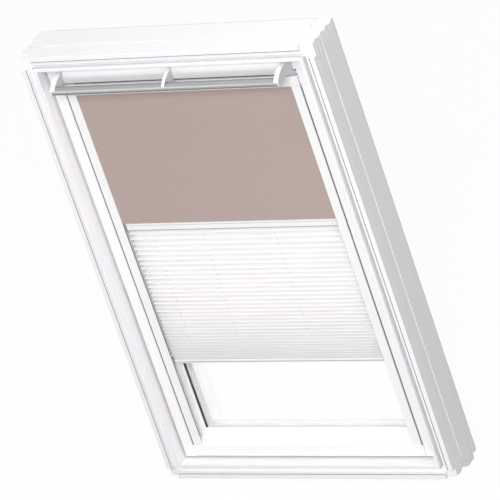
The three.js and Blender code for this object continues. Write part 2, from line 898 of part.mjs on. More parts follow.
// The head cassette, open below for the cloth, with an end cap that seats against each stile.
function buildCassette(sash) {
  const back = sashRecess + cassetteDepth;
  const inFront = sashRecess + cassetteWall;
  const inBack = back - cassetteWall;
  const profile = [
    [sashRecess, cassetteBottom],
    [sashRecess, cassetteTop, cassetteEdge],
    [back, cassetteTop],
    [back, cassetteBottom],
    [inFront + cassetteMouth, cassetteBottom],
    [inFront + cassetteMouth, cassetteBottom + cassetteWall],
    [inBack, cassetteBottom + cassetteWall],
    [inBack, cassetteTop - cassetteWall],
    [inFront, cassetteTop - cassetteWall, cassetteEdge - cassetteWall],
    [inFront, cassetteBottom],
  ];
  add(sash, "cassette", prism(profile, -cassetteHalf, cassetteHalf, across), whiteAluminium);

  const capOutline = [
    [sashRecess, cassetteBottom],
    [sashRecess, cassetteTop, cassetteEdge],
    [back, cassetteTop],
    [back, cassetteBottom],
  ];
  for (const side of SIDES.filter((each) => each.upright)) {
    const flat = (depth, z, edge) => side.place(edge, depth, z);
    const cap = prism(capOutline, railEdgeOut, railEdgeOut + cassetteCap, flat);
    const lugRadius = rolledRadius - rollerPinRadius;
    const lug = prism(
      arc(rollerDepth, rollerZ, lugRadius),
      sashEdgeIn + seatGap,
      railEdgeOut + cutOverrun,
      flat,
    );
    const bearing = prism(
      arc(rollerDepth, rollerZ, rollerPinRadius + seatGap),
      railEdgeOut,
      railEdgeOut + cassetteCap + cutOverrun,
      flat,
    );
    add(sash, `cassette_cap_${side.name}`, cutFrom(joined(cap, lug), bearing), whiteTrim);
  }
}

// The roller: a tube with an end plug and pin at each end, and the cloth wound on it.
function buildRoller(roller) {
  const half = cassetteHalf - rollerEndGap;
  const bore = rollerRadius - rollerWall;
  const tube = prism(
    arc(rollerDepth, rollerZ, rollerRadius), -half, half, across, [arc(rollerDepth, rollerZ, bore)],
  );
  add(roller, "roller_tube", tube, brushedAluminium);

  const woundHalf = halfWidth - railEdgeIn + clothTuck;
  const inner = rollerRadius + seatGap;
  const wound = prism(
    arc(rollerDepth, rollerZ, rolledRadius - seatGap),
    -woundHalf,
    woundHalf,
    across,
    [arc(rollerDepth, rollerZ, inner)],
  );
  add(roller, "rolled_cloth", wound, blackoutCloth);

  for (const [name, hand] of [["left", -1], ["right", 1]]) {
    const pinEnd = cassetteHalf + seatGap + cassetteCap - seatGap;
    const plugSpan = ordered(hand * (half - rollerPlug), hand * half);
    const plug = rod(bore - seatGap, rollerDepth, rollerZ, ...plugSpan);
    const pin = rod(
      rollerPinRadius, rollerDepth, rollerZ, ...ordered(hand * (half - cutOverrun), hand * pinEnd),
    );
    add(roller, `roller_plug_${name}`, joined(plug, pin), greyPlastic);
  }
}

const ordered = (a, b) => (a < b ? [a, b] : [b, a]);

// The blackout cloth, from the front of the roller down to its bottom bar.
function buildBlackoutCloth(carrier) {
  const half = halfWidth - railEdgeIn + clothTuck;
  const sheet = [
    [clothDepth - clothThick, blackoutBarTop + seatGap],
    [clothDepth, blackoutBarTop + seatGap],
    [clothDepth, rollerZ],
    [clothDepth - clothThick, rollerZ],
  ];
  add(carrier, "blackout_cloth", prism(sheet, -half, half, across), blackoutCloth);
}

// A hollow bar across the window, open at its ends.
function crossBar(top, height) {
  const corners = rectangle(barFront, top - height, barFront + barDepth, top, barEdge);
  const hollow = rectangle(
    barFront + barWall,
    top - height + barWall,
    barFront + barDepth - barWall,
    top - barWall,
  );
  return prism(corners, -barHalf, barHalf, across, [hollow]);
}

// The sliders that carry a bar at both ends and run in the rails' slots. One that carries two
// bars reaches over both, with a tongue in each.
function buildSliders(carrier, prefix, top, bottom, bars) {
  const middle = (slotFront + slotBack) / 2;
  const front = middle - sliderThick / 2;
  for (const side of SIDES.filter((each) => each.upright)) {
    const barEnd = halfWidth - barHalf;
    const shoe = prism(
      rectangle(
        railEdgeIn - railSlotCut + seatGap,
        front,
        barEnd - seatGap,
        front + sliderThick,
        sliderPlay,
      ),
      bottom,
      top,
      side.place,
    );
    const tongues = bars.map(([barTop, height]) =>
      prism(
        rectangle(
          barEnd - seatGap - cutOverrun,
          barFront + barWall + sliderPlay,
          barEnd + sliderTongue,
          barFront + barDepth - barWall - sliderPlay,
        ),
        barTop - height + barWall + sliderPlay,
        barTop - barWall - sliderPlay,
        side.place,
      ),
    );
    add(carrier, `${prefix}_slider_${side.name}`, joined(shoe, ...tongues), greyPlastic);
  }
}

function buildBlackoutBars(carrier) {
  add(carrier, "blackout_bar", crossBar(blackoutBarTop, blackoutBarHeight), whiteAluminium);
  add(carrier, "pleat_top_bar", crossBar(pleatTopTop, pleatTopHeight), whiteAluminium);
  const bars = [[blackoutBarTop, blackoutBarHeight], [pleatTopTop, pleatTopHeight]];
  buildSliders(carrier, "middle", blackoutBarTop, pleatTopBottom, bars);
}

function buildPleatBar(carrier) {
  add(carrier, "pleat_bottom_bar", crossBar(pleatBarTop, pleatBottomHeight), whiteAluminium);
  const bars = [[pleatBarTop, pleatBottomHeight]];
  buildSliders(carrier, "lower", pleatBarTop, pleatBarTop - pleatBottomHeight, bars);
}

// The pleated cloth as one folded band. The folds hang open at the top, where the cloth carries
// its own weight, and close up towards the bottom bar.
function buildPleatedCloth(carrier) {
  const top = pleatTopBottom - seatGap;
  const room = pleatDrop - 2 * seatGap;
  const foldAt = (i) => {
    const t = i / pleatCount;
    return top - room * (pleatTopShare * t + (1 - pleatTopShare) * t * t);
  };
  const front = sashRecess + pleatSetBack;
  const seat = barFront + (barDepth - pleatThick) / 2;
  const folds = 2 * pleatCount;
  const roomSide = Array.from({ length: folds + 1 }, (_, i) => {
    const fold = i % 2 === 0 ? front + pleatFold : front;
    return [i === 0 || i === folds ? seat : fold, foldAt(i / 2)];
  });
  const glassSide = roomSide.map(([depth, z]) => [depth + pleatThick, z]).reverse();
  const half = halfWidth - railEdgeIn - pleatSideGap;
  add(carrier, "pleated_cloth", prism([...roomSide, ...glassSide], -half, half, across), pleatCloth);
}

// The swept front face of the flap, from its foot to its head.
function flapFace(setBack) {
  const foot = frameHeight - flapBottom;
  const head = frameHeight - flapTop;
  const steps = 2 * arcSteps;
  return Array.from({ length: steps + 1 }, (_, i) => {
    const t = i / steps;
    const sweep = flapSweep * (2 * t - 1) ** 2 * (t < 1 / 2 ? 1 / 2 : 1);
    return [flapFront + sweep + setBack, foot + (head - foot) * t];
  });
}

// The flap: a bowed shell with a flange along its foot and its head.
function buildFlap(flap) {
  const face = flapFace(0);
  const backFace = flapFace(flapWall).reverse();
  const [footDepth, footZ] = face[0];
  const [, headZ] = face[face.length - 1];
  const reach = flapFront + flapReach;
  const inside = backFace.map(([depth, z]) => [
    depth,
    THREE.MathUtils.clamp(z, footZ + flapWall, headZ - flapWall),
  ]);
  const profile = [
    ...face,
    [reach, headZ],
    [reach, headZ - flapWall],
    ...inside,
    [reach, footZ + flapWall],
    [reach, footZ],
  ];
  const half = armInner - seatGap;
  add(flap, "vent_flap", prism(profile, -half, half, across), greyPlastic);
  return footDepth;
}

// The hooked part of an arm: from the crown along its bowed back to the tip over the bar, in to
// the bar's axis, out to the heel behind the bar, and up to the arch under the arm.
function armHook() {
  const axis = [-tubeAhead, tubeZ];
  const onRing = (height, skin, way) => {
    const radius = tubeRadius + seatGap + skin;
    return [axis[0] + way * Math.sqrt(radius ** 2 - height ** 2), axis[1] + height];
  };
  const crown = new THREE.Vector2(armCrownDepth, frameHeight - armCrown);
  const tip = new THREE.Vector2(...onRing(armTipRise, armTipSkin, -1));
  const run = tip.clone().sub(crown);
  const outward = new THREE.Vector2(run.y, -run.x).normalize();
  const steps = 3 * arcSteps;
  const back = Array.from({ length: steps + 1 }, (_, i) => {
    const t = i / steps;
    const bow = armBow * 4 * t * (1 - t);
    return crown.clone().addScaledVector(run, t).addScaledVector(outward, bow).toArray();
  });
  return [
    ...back,
    axis,
    onRing(-armHeelFall, armHeelSkin, 1),
    [-armArchDepth, frameHeight - armArchDrop, armCorner],
  ];
}

// The space that the bar and its clearance take in an arm.
function barBore(x0, x1) {
  return rod(tubeRadius + seatGap, -tubeAhead, tubeZ, x0, x1);
}

// The space outside an end arm, whose outer face flares out behind the bar toward the stile.
function beyondArm(place) {
  const plain = halfWidth - flapHalfLength;
  const flared = plain - armFlare;
  const front = -(tubeAhead + tubeRadius + armTipSkin + cutOverrun);
  const back = sashRecess - armHeadGap;
  const plan = [
    [flared - cutOverrun, front],
    [plain, front],
    [plain, armFlareDepth],
    [flared, back],
    [flared - cutOverrun, back],
  ];
  return prism(plan, 0, frameHeight, place);
}

// An end arm closes the flap's end, hooks over the bar, caps its end and carries the flap's pin.
function buildEndArms(flap) {
  const back = sashRecess - armHeadGap;
  const shoulder = frameHeight - flapBottom + flapEar;
  const web = [
    [flapFront + flapSweep, frameHeight - flapTop],
    ...armHook(),
    [
      flapPivotDepth - flapEar * Math.sin(flapEarLean),
      flapPivotZ - flapEar * Math.cos(flapEarLean),
    ],
    [flapPivotDepth, flapPivotZ],
    [flapFront + flapReach, shoulder],
    [back, shoulder + back - flapFront - flapReach],
    [back, frameHeight - flapTop],
  ];
  const wall = flapHalfLength - armCapWall;
  const capRadius = tubeRadius + seatGap + armTipSkin;
  for (const [name, hand, place] of [["left", -1, onLeft], ["right", 1, onRight]]) {
    const span = ordered(hand * armInner, hand * (flapHalfLength + armFlare));
    const plate = prism(web, ...span, across);
    const ear = prism(arc(flapPivotDepth, flapPivotZ, flapEar), ...span, across);
    const cap = rod(capRadius, -tubeAhead, tubeZ, ...ordered(hand * wall, hand * flapHalfLength));
    const bore = barBore(...ordered(hand * (armInner - cutOverrun), hand * wall));
    const pinEnd = halfWidth - sashEdgeIn + flapPinBite;
    const pin = rod(flapPinRadius, flapPivotDepth, flapPivotZ, ...ordered(hand * armInner, hand * pinEnd));
    const solid = cutFrom(joined(cutFrom(plate, beyondArm(place)), ear, pin, cap), bore);
    add(flap, `bar_arm_${name}`, solid, whiteTrim);
  }
}

// The middle arm stands on the flap's face and hooks over the bar.
function buildMiddleArm(flap) {
  const half = armMiddleThick / 2;
  const plate = prism([...flapFace(-seatGap), ...armHook()], -half, half, across);
  const bore = barBore(-half - cutOverrun, half + cutOverrun);
  add(flap, "bar_arm_middle", cutFrom(plate, bore), whiteTrim);
}

// The tube between the end arms' caps.
function buildBar(flap) {
  const half = flapHalfLength - armCapWall - seatGap;
  const tube = prism(
    arc(-tubeAhead, tubeZ, tubeRadius),
    -half,
    half,
    across,
    [arc(-tubeAhead, tubeZ, tubeRadius - tubeWall)],
  );
  add(flap, "control_bar", tube, brushedAluminium);
}

const window = new THREE.Group();
const [frame, sash, flap, latch, roller, middleBars, lowerBar] = Array.from(
  { length: 7 },
  () => new THREE.Group(),
);
window.add(frame);
frame.add(sash);
sash.add(flap, latch, roller, middleBars);
middleBars.add(lowerBar);

buildFrame(frame);
buildTrim(frame);
buildFrameCovers(frame);
buildFramePivots(frame);
buildSeals(frame);
buildStriker(frame);
buildSash(sash);
buildGlazing(sash);
buildSashCovers(sash);
buildSashPivots(sash);
buildLock(sash, latch);
buildFilter(sash);
buildGuideRails(sash);
buildCassette(sash);
buildRoller(roller);
buildFlap(flap);
buildEndArms(flap);
buildMiddleArm(flap);
buildBar(flap);
buildBlackoutCloth(middleBars);
buildBlackoutBars(middleBars);
buildPleatedCloth(middleBars);
buildPleatBar(lowerBar);

export default window;
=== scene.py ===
"""Dresses the roof window and the two-cloth blind in its sash, and sets the studio round them."""

import json
import logging
import math
import random
from dataclasses import dataclass
from enum import Enum
from typing import Any, Callable, Sequence

import bmesh
import bpy
from mathutils import Matrix, Vector


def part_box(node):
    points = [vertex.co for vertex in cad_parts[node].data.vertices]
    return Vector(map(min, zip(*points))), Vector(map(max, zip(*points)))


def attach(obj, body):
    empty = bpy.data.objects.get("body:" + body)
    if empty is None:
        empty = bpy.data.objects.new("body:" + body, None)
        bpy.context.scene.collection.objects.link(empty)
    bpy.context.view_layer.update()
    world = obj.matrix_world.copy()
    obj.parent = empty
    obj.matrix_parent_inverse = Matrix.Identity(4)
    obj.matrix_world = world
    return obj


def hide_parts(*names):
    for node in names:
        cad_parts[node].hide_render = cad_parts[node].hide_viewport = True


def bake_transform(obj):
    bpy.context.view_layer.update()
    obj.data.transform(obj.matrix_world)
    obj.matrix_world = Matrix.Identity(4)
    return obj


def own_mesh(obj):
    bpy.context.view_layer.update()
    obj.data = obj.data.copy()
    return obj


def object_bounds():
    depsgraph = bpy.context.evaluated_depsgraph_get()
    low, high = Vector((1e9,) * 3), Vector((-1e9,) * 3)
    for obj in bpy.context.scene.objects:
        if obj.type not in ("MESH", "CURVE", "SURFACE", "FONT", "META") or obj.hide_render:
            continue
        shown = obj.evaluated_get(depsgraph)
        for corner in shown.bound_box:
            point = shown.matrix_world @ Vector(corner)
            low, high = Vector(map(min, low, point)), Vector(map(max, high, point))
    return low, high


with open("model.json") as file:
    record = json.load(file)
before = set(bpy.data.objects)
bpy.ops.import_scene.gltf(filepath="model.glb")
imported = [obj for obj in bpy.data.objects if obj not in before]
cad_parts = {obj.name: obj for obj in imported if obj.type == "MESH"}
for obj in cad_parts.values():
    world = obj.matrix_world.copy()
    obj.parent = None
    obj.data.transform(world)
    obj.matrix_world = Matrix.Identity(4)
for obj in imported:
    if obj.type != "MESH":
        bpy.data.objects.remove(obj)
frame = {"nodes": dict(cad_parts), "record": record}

log = logging.getLogger("roof_window")

MM = 0.001
CAD_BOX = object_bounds()
HANDS = {"left": -1, "right": 1}
ROUNDED_FROM = math.radians(35)
FLAT_WITHIN = math.radians(1)
WELDED_WITHIN = 0.002 * MM

Point = tuple[float, float]
Spot = tuple[float, float, float]
Place = Callable[[float, float, float], Spot]
Inputs = dict[str | int, Any]
Builder = bmesh.types.BMesh
Node = bpy.types.Node
Nodes = bpy.types.NodeTree
Piece = bpy.types.Object


class Side(Enum):
    """A side of the window, seen from the room."""

    LEFT = "left"
    RIGHT = "right"
    TOP = "top"
    BOTTOM = "bottom"

    @property
    def upright(self) -> bool:
        """Whether the member on this side stands upright."""
        return self in (Side.LEFT, Side.RIGHT)


class Grain(Enum):
    """The axis along which a member's grain, drawing or brushing runs."""

    ACROSS = (1.0, 0.0, 0.0)
    UPRIGHT = (0.0, 0.0, 1.0)


EVEN = (Grain.UPRIGHT, 1.0)


# Colour and node helpers


def linear(hex_code: str) -> tuple[float, float, float, float]:
    """Turns an sRGB hex colour to Blender's linear values.

    Args:
        hex_code: The colour as six hex digits.

    Returns:
        Red, green, blue and alpha.
    """
    channels = [int(hex_code[i : i + 2], 16) / 255 for i in (0, 2, 4)]
    red, green, blue = (c / 12.92 if c <= 0.04045 else ((c + 0.055) / 1.055) ** 2.4 for c in channels)
    return red, green, blue, 1.0


def feed(node: Node, inputs: Inputs) -> None:
    """Gives a node its inputs.

    Args:
        node: The node.
        inputs: For each input, by name or place, a value, an output, or a node whose first output
            is linked.
    """
    for key, value in inputs.items():
        if isinstance(value, Node):
            value = value.outputs[0]
        if isinstance(value, bpy.types.NodeSocket):
            node.id_data.links.new(value, node.inputs[key])
        else:
            node.inputs[key].default_value = value


def add_node(tree: Nodes, kind: str, inputs: Inputs, **settings: Any) -> Node:
    """Adds one node with its settings, values and links.

    Args:
        tree: The node tree that takes the node.
        kind: The node's type name, after "ShaderNode".
        inputs: What feed gives the node.
        settings: Values for the node's own properties.

    Returns:
        The new node.
    """
    node = tree.nodes.new(f"ShaderNode{kind}")
    for name, value in settings.items():
        setattr(node, name, value)
    feed(node, inputs)
    return node


def texture(
    tree: Nodes, kind: str, size: float, stretch: tuple[Grain, float], inputs: Inputs, **settings: Any
) -> Node:
    """Adds a texture in the piece's own coordinates, which may be drawn out along one axis.

    Args:
        tree: The material's nodes.
        kind: The texture's kind.
        size: The real size of its features, in metres.
        stretch: The axis that they run along, and how many times longer they are on it.
        inputs: The texture's other inputs.
        settings: The texture's own properties.

    Returns:
        The texture.
    """
    place = add_node(tree, "TexCoord", {}).outputs["Object"]
    scale = tuple(1 / stretch[1] if axis else 1.0 for axis in stretch[0].value)
    vector = add_node(tree, "Mapping", {"Vector": place, "Scale": scale})
    return add_node(tree, kind, {"Vector": vector, "Scale": 1 / size, **inputs}, **settings)


def principled(tree: Nodes) -> Node:
    """The Principled shader of a material's nodes."""
    return tree.nodes["Principled BSDF"]


def share_surface(tree: Nodes, share: Any, other: Node) -> None:
    """Lets a second shader take a share of the surface.

    Args:
        tree: The material's nodes.
        share: The share, as a value or an output.
        other: The second shader.
    """
    mixed = add_node(tree, "MixShader", {0: share, 1: principled(tree), 2: other})
    feed(tree.nodes["Material Output"], {"Surface": mixed})


# Finishes


@dataclass(frozen=True)
class Finish:
    """A surface finish: what a piece is made of and how its surface was made."""

    name: str
    slot: str
    colour: str
    roughness: float
    metallic: float = 0.0
    shade: str = "FFFFFF"

    def material(self) -> bpy.types.Material:
        """Builds the material, once.

        Returns:
            The material.
        """
        found = bpy.data.materials.get(self.name)
        if found:
            return found
        made = bpy.data.materials.new(self.name)
        made.use_nodes = True
        made.diffuse_color = linear(self.colour)
        own = {"Base Color": linear(self.colour), "Roughness": self.roughness, "Metallic": self.metallic}
        feed(principled(made.node_tree), own)
        self.pattern(made.node_tree)
        return made

    def pattern(self, tree: Nodes) -> None:
        """Adds the finish's own pattern to a material's nodes."""
        raise NotImplementedError

    def vary(
        self, tree: Nodes, height: Node, rise: float, tone_by: Node | None = None, gloss: Point = (0, 0)
    ) -> None:
        """Lets patterns change the surface's height, tone and gloss.

        Args:
            tree: The material's nodes.
            height: The pattern of the surface's height, from 0 to 1.
            rise: The real rise between 0 and 1, in metres.
            tone_by: The pattern that leads from the shade to the colour.
            gloss: What is added to the roughness where the height is 0, and where it is 1.
        """
        shader = principled(tree)
        feed(shader, {"Normal": add_node(tree, "Bump", {"Height": height, "Distance": rise})})
        if tone_by is not None:
            tones = {0: tone_by, 6: linear(self.shade), 7: linear(self.colour)}
            feed(shader, {"Base Color": add_node(tree, "Mix", tones, data_type="RGBA").outputs[2]})
        if any(gloss):
            ends = {"To Min": self.roughness + gloss[0], "To Max": self.roughness + gloss[1]}
            feed(shader, {"Roughness": add_node(tree, "MapRange", {"Value": height, **ends})})


@dataclass(frozen=True)
class LacqueredPine(Finish):
    """Laminated pine under satin white lacquer: the grain shows only as faint long ridges."""

    grain: Grain = Grain.UPRIGHT
    shade: str = "F2F0F2"
    ring_spacing: float = 3.2 * MM
    ring_length: float = 28.0
    rise: float = 0.015 * MM
    gloss: Point = (-0.06, 0.08)

    def pattern(self, tree: Nodes) -> None:
        """Adds ridges along the grain, a faint tone change and a roughness change.

        Args:
            tree: The material's nodes.
        """
        detail = {"Detail": 4.0, "Roughness": 0.55}
        rings = texture(tree, "TexNoise", self.ring_spacing, (self.grain, self.ring_length), detail)
        spread = add_node(tree, "MapRange", {"Value": rings, "From Min": 0.35, "From Max": 0.65})
        feed(principled(tree), {"Coat Weight": 0.12, "Coat Roughness": 0.3})
        self.vary(tree, rings, self.rise, spread, self.gloss)


@dataclass(frozen=True)
class PowderCoat(Finish):
    """Powder coat on extruded or folded aluminium: an even colour with a fine orange peel."""

    shade: str = "EFEEF0"
    peel: float = 1.4 * MM
    cloud: float = 90 * MM
    rise: float = 0.02 * MM

    def pattern(self, tree: Nodes) -> None:
        """Adds the orange peel and a broad, very faint tone change.

        Args:
            tree: The material's nodes.
        """
        peel = texture(tree, "TexNoise", self.peel, EVEN, {"Detail": 2.0})
        cloud = texture(tree, "TexNoise", self.cloud, EVEN, {"Detail": 1.0})
        self.vary(tree, peel, self.rise, cloud)


@dataclass(frozen=True)
class MouldedPlastic(Finish):
    """Injection-moulded plastic, soft in its gloss from the mould's spark-eroded texture.

    The real texture is about 0.1 mm wide, too fine to show, so it is drawn 0.9 mm wide.
    """

    shade: str = "EFEDF0"
    spark: float = 0.9 * MM
    rise: float = 0.03 * MM

    def pattern(self, tree: Nodes) -> None:
        """Adds the moulded texture to tone and height."""
        cells = texture(tree, "TexVoronoi", self.spark, EVEN, {}, feature="SMOOTH_F1")
        self.vary(tree, cells, self.rise, cells)


@dataclass(frozen=True)
class DrawnMetal(Finish):
    """Bare drawn or rolled metal: fine lines along the way it was drawn break up its gloss.

    The real lines are about 0.1 mm apart, too fine to show, so they are drawn 0.6 mm apart.
    """

    grain: Grain = Grain.ACROSS
    line: float = 0.6 * MM
    line_length: float = 120.0
    spread: float = 0.12
    rise: float = 0.01 * MM

    def pattern(self, tree: Nodes) -> None:
        """Adds drawing lines to the gloss and the height."""
        lines = texture(tree, "TexNoise", self.line, (self.grain, self.line_length), {"Detail": 3.0})
        self.vary(tree, lines, self.rise, gloss=(-self.spread, self.spread))


@dataclass(frozen=True)
class BlackoutWeave(Finish):
    """Plain-woven polyester on a light-tight coating.

    The real threads are 0.4 mm apart, too fine to show, so the weave is drawn 6.9 mm apart.
    """

    shade: str = "AB9992"
    thread: float = 6.91 * MM
    slub: float = 2.4 * MM
    slub_length: float = 30.0
    rise: float = 0.12 * MM

    def pattern(self, tree: Nodes) -> None:
        """Adds warp and weft threads, uneven yarn and a soft sheen.

        Args:
            tree: The material's nodes.
        """
        # At a scale of 1 a band texture goes through 20 radians of its wave in a metre
        size = self.thread * 20 / (2 * math.pi)
        waves = [
            texture(tree, "TexWave", size, EVEN, {"Distortion": 0.6, "Detail": 1.0}, bands_direction=way)
            for way in ("X", "Z")
        ]
        warp, weft = (wave.outputs["Fac"] for wave in waves)
        weave = add_node(tree, "Math", {0: warp, 1: weft}, operation="MULTIPLY")
        slub = texture(tree, "TexNoise", self.slub, (Grain.ACROSS, self.slub_length), {"Detail": 2.0})
        uneven = add_node(tree, "Math", {0: weave, 1: slub}, operation="ADD")
        feed(principled(tree), {"Sheen Weight": 0.15})
        self.vary(tree, weave, self.rise, uneven)


@dataclass(frozen=True)
class PleatedPolyester(Finish):
    """Thin spunlaid polyester with set pleats: matt, and it lets part of the light through.

    Its fibres are too fine to show, so the pattern is that of their clouds, 1 mm wide.
    """

    shade: str = "F7F6F6"
    fibre: float = 1.0 * MM
    fibre_length: float = 8.0
    rise: float = 0.05 * MM
    passes: float = 0.38

    def pattern(self, tree: Nodes) -> None:
        """Adds the fibres, and a share of light that passes through the cloth.

        Args:
            tree: The material's nodes.
        """
        stretch = (Grain.ACROSS, self.fibre_length)
        fibres = texture(tree, "TexNoise", self.fibre, stretch, {"Detail": 3.0})
        self.vary(tree, fibres, self.rise, fibres)
        through = add_node(tree, "BsdfTranslucent", {"Color": linear(self.colour)})
        share_surface(tree, self.passes, through)


@dataclass(frozen=True)
class FloatGlass(Finish):
    """Clear float glass: a barely uneven mirror, which lets the lamps' light through."""

    ior: float = 1.52
    ripple: float = 160 * MM
    ripple_length: float = 3.0
    rise: float = 0.02 * MM

    def pattern(self, tree: Nodes) -> None:
        """Makes the shader glass and opens it to shadow rays.

        Args:
            tree: The material's nodes.
        """
        feed(principled(tree), {"Transmission Weight": 1.0, "IOR": self.ior})
        stretch = (Grain.ACROSS, self.ripple_length)
        self.vary(tree, texture(tree, "TexNoise", self.ripple, stretch, {"Detail": 0.0}), self.rise)
        open_way = add_node(tree, "BsdfTransparent", {"Color": linear(self.colour)})
        share_surface(tree, add_node(tree, "LightPath", {}).outputs["Is Shadow Ray"], open_way)


@dataclass(frozen=True)
class ExtrudedRubber(Finish):
    """Extruded rubber or brushed pile: matt, with a dusty bloom that is a little lighter."""

    shade: str = "3A393B"
    bloom: float = 7 * MM
    rise: float = 0.1 * MM

    def pattern(self, tree: Nodes) -> None:
        """Adds the bloom as a tone change, and a slight unevenness.

        Args:
            tree: The material's nodes.
        """
        bloom = texture(tree, "TexNoise", self.bloom, EVEN, {"Detail": 4.0})
        clean = add_node(tree, "Math", {0: 1.0, 1: bloom}, operation="SUBTRACT")
        self.vary(tree, bloom, self.rise, clean)


@dataclass(frozen=True)
class NeedledFleece(Finish):
    """Open needled fleece of the air filter: loose fibres and dark pores."""

    shade: str = "6E6E6B"
    pore: float = 2.0 * MM
    pore_length: float = 2.0
    rise: float = 0.8 * MM

    def pattern(self, tree: Nodes) -> None:
        """Adds pores and fibres.

        Args:
            tree: The material's nodes.
        """
        stretch = (Grain.ACROSS, self.pore_length)
        pores = texture(tree, "TexNoise", self.pore, stretch, {"Detail": 6.0})
        feed(principled(tree), {"Sheen Weight": 0.3})
        self.vary(tree, pores, self.rise, pores)


# Sanded pine, lacquered white: satin, its long ridges show only where light grazes it
PINE_UPRIGHT = LacqueredPine("white_lacquered_pine_upright", "white_lacquered_pine", "F6F4F6", 0.4)
PINE_ACROSS = LacqueredPine(
    "white_lacquered_pine_across", "white_lacquered_pine", "F6F4F6", 0.4, grain=Grain.ACROSS
)
# Moulded ASA: an even white with soft highlights
WHITE_PLASTIC = MouldedPlastic("white_moulded_asa", "white_plastic", "F7F5F7", 0.38)
# Moulded ABS: nearly the same white, a little more matt
GREY_PLASTIC = MouldedPlastic(
    "light_grey_moulded_abs", "light_grey_plastic", "F6F5F7", 0.42, shade="F0EFF2"
)
# The same ABS in a mid grey on the arms' flat sides: painted shade, so the sides read darker than the
# white edges
ARM_FLANK_SHADE = MouldedPlastic("arm_flank_painted_shade", "white_plastic", "C9C8CB", 0.42, shade="C1C0C3")
# Moulded acetal: a waxy mid grey
SLIDER_PLASTIC = MouldedPlastic(
    "grey_moulded_acetal", "light_grey_plastic", "A8A7AA", 0.35, shade="9E9DA0"
)
# Matt grey on the bars' groove faces: painted shade that darkens the grooves
BAR_GROOVE_SHADE = MouldedPlastic(
    "bar_groove_painted_shade", "white_coated_aluminium", "A9A7AB", 0.55, shade="A09EA2"
)
# Nearly black on the rails' slot faces: painted shade, so the slot reads as deep
RAIL_SLOT_SHADE = MouldedPlastic(
    "rail_slot_painted_shade", "white_coated_aluminium", "3C3B3E", 0.5, shade="353437"
)
# Extruded composite between the panes: a plain, matt light grey
WARM_EDGE = MouldedPlastic(
    "grey_warm_edge_composite", "light_grey_plastic", "C6C5C9", 0.6, shade="BEBDC1"
)
# Powder coat on extrusions: white with a fine orange peel
WHITE_COAT = PowderCoat("white_powder_coated_aluminium", "white_coated_aluminium", "F5F4F5", 0.38)
# Coil coat on folded sheet: an even, matt dark grey
GREY_COAT = PowderCoat(
    "grey_coil_coated_aluminium", "grey_coated_aluminium", "5B5F62", 0.5, shade="55595C"
)
# Drawn tube, satin anodised: a long soft highlight with lines along the tube
TUBE_ALUMINIUM = DrawnMetal(
    "satin_anodised_drawn_aluminium", "anodised_aluminium", "A6A6A8", 0.42, 1.0, spread=0.05
)
# Pressed steel, zinc plated: cool grey metal with rolling lines
ZINC_STEEL = DrawnMetal(
    "zinc_plated_pressed_steel", "zinc_plated_steel", "B4B7BA", 0.36, 1.0, grain=Grain.UPRIGHT
)
# Woven blackout cloth: taupe, matt, with faint threads and no light through it
BLACKOUT = BlackoutWeave("taupe_woven_blackout_polyester", "taupe_blackout_cloth", "B3A19B", 0.88)
# Spunlaid pleated cloth: a soft white that glows where light falls behind it
PLEAT_CLOTH = PleatedPolyester("white_pleated_polyester", "white_pleated_cloth", "FCFBFB", 0.85)
# Float glass: clear, so what lies behind it shows
GLASS = FloatGlass("clear_float_glass", "clear_glass", "FFFFFF", 0.0)
# Extruded EPDM: matt black with a dusty bloom
RUBBER = ExtrudedRubber("black_extruded_epdm", "black_rubber", "2B2A2C", 0.75)
# Grey strips of painted shade: dark grey in the trim's lip line, beside the rails and under the flap;
# paler at the head, where less shade is painted
SHADE_LINE = ExtrudedRubber("dark_grey_painted_shade_line", "black_rubber", "5C5A5E", 0.7, shade="68666A")
HEAD_SHADE_LINE = ExtrudedRubber("pale_grey_painted_shade_line", "black_rubber", "8E8C90", 0.7, shade="98969A")
# Grey bands of painted shade in the trim's groove, by its inner rim: light grey, and paler at the head
GROOVE_SHADE_BAND = ExtrudedRubber("light_grey_painted_shade_band", "black_rubber", "C2C0C4", 0.9, shade="B7B5B9")
HEAD_SHADE_BAND = ExtrudedRubber("pale_grey_painted_shade_band", "black_rubber", "E2E0E4", 0.9, shade="DAD8DC")
# Dull grey on the tube's lower side: painted shade for its dark underside, which also cuts the metal's
# gloss
TUBE_UNDERSIDE_SHADE = ExtrudedRubber(
    "tube_underside_painted_shade", "anodised_aluminium", "7A7A7D", 0.9, shade="727275"
)
# Needled filter fleece: dull grey, rough and full of pores
FLEECE = NeedledFleece("grey_needled_fleece", "filter_fleece", "9A9A96", 0.95)


# Mesh helpers


def put_in_scene(name: str, data: bpy.types.ID) -> Piece:
    """Links a mesh, a camera or a lamp as a new object.

    Args:
        name: The object's name.
        data: What the object shows.

    Returns:
        The object.
    """
    made = bpy.data.objects.new(name, data)
    bpy.context.scene.collection.objects.link(made)
    return made


def finished(name: str, builder: Builder) -> Piece:
    """Turns a bmesh into an object with faces that point out.

    Args:
        name: The object's name.
        builder: The bmesh, which is freed.

    Returns:
        The object.
    """
    bmesh.ops.recalc_face_normals(builder, faces=builder.faces)
    mesh = bpy.data.meshes.new(name)
    builder.to_mesh(mesh)
    builder.free()
    return put_in_scene(name, mesh)


def apply_modifiers(piece: Piece) -> bpy.types.Mesh:
    """Gives a piece the mesh that its modifiers make.

    Args:
        piece: The piece, which loses its modifiers.

    Returns:
        The new mesh.
    """
    graph = bpy.context.evaluated_depsgraph_get()
    mesh = bpy.data.meshes.new_from_object(piece.evaluated_get(graph))
    piece.modifiers.clear()
    piece.data = mesh
    return mesh


def smooth(piece: Piece, sharp: float = 32.0) -> Piece:
    """Applies a piece's modifiers and shades it smooth but for its sharp edges.

    Args:
        piece: The object to treat.
        sharp: The angle in degrees from which an edge stays sharp.

    Returns:
        The same object.
    """
    mesh = apply_modifiers(piece)
    mesh.shade_smooth()
    mesh.set_sharp_from_angle(angle=math.radians(sharp))
    return piece


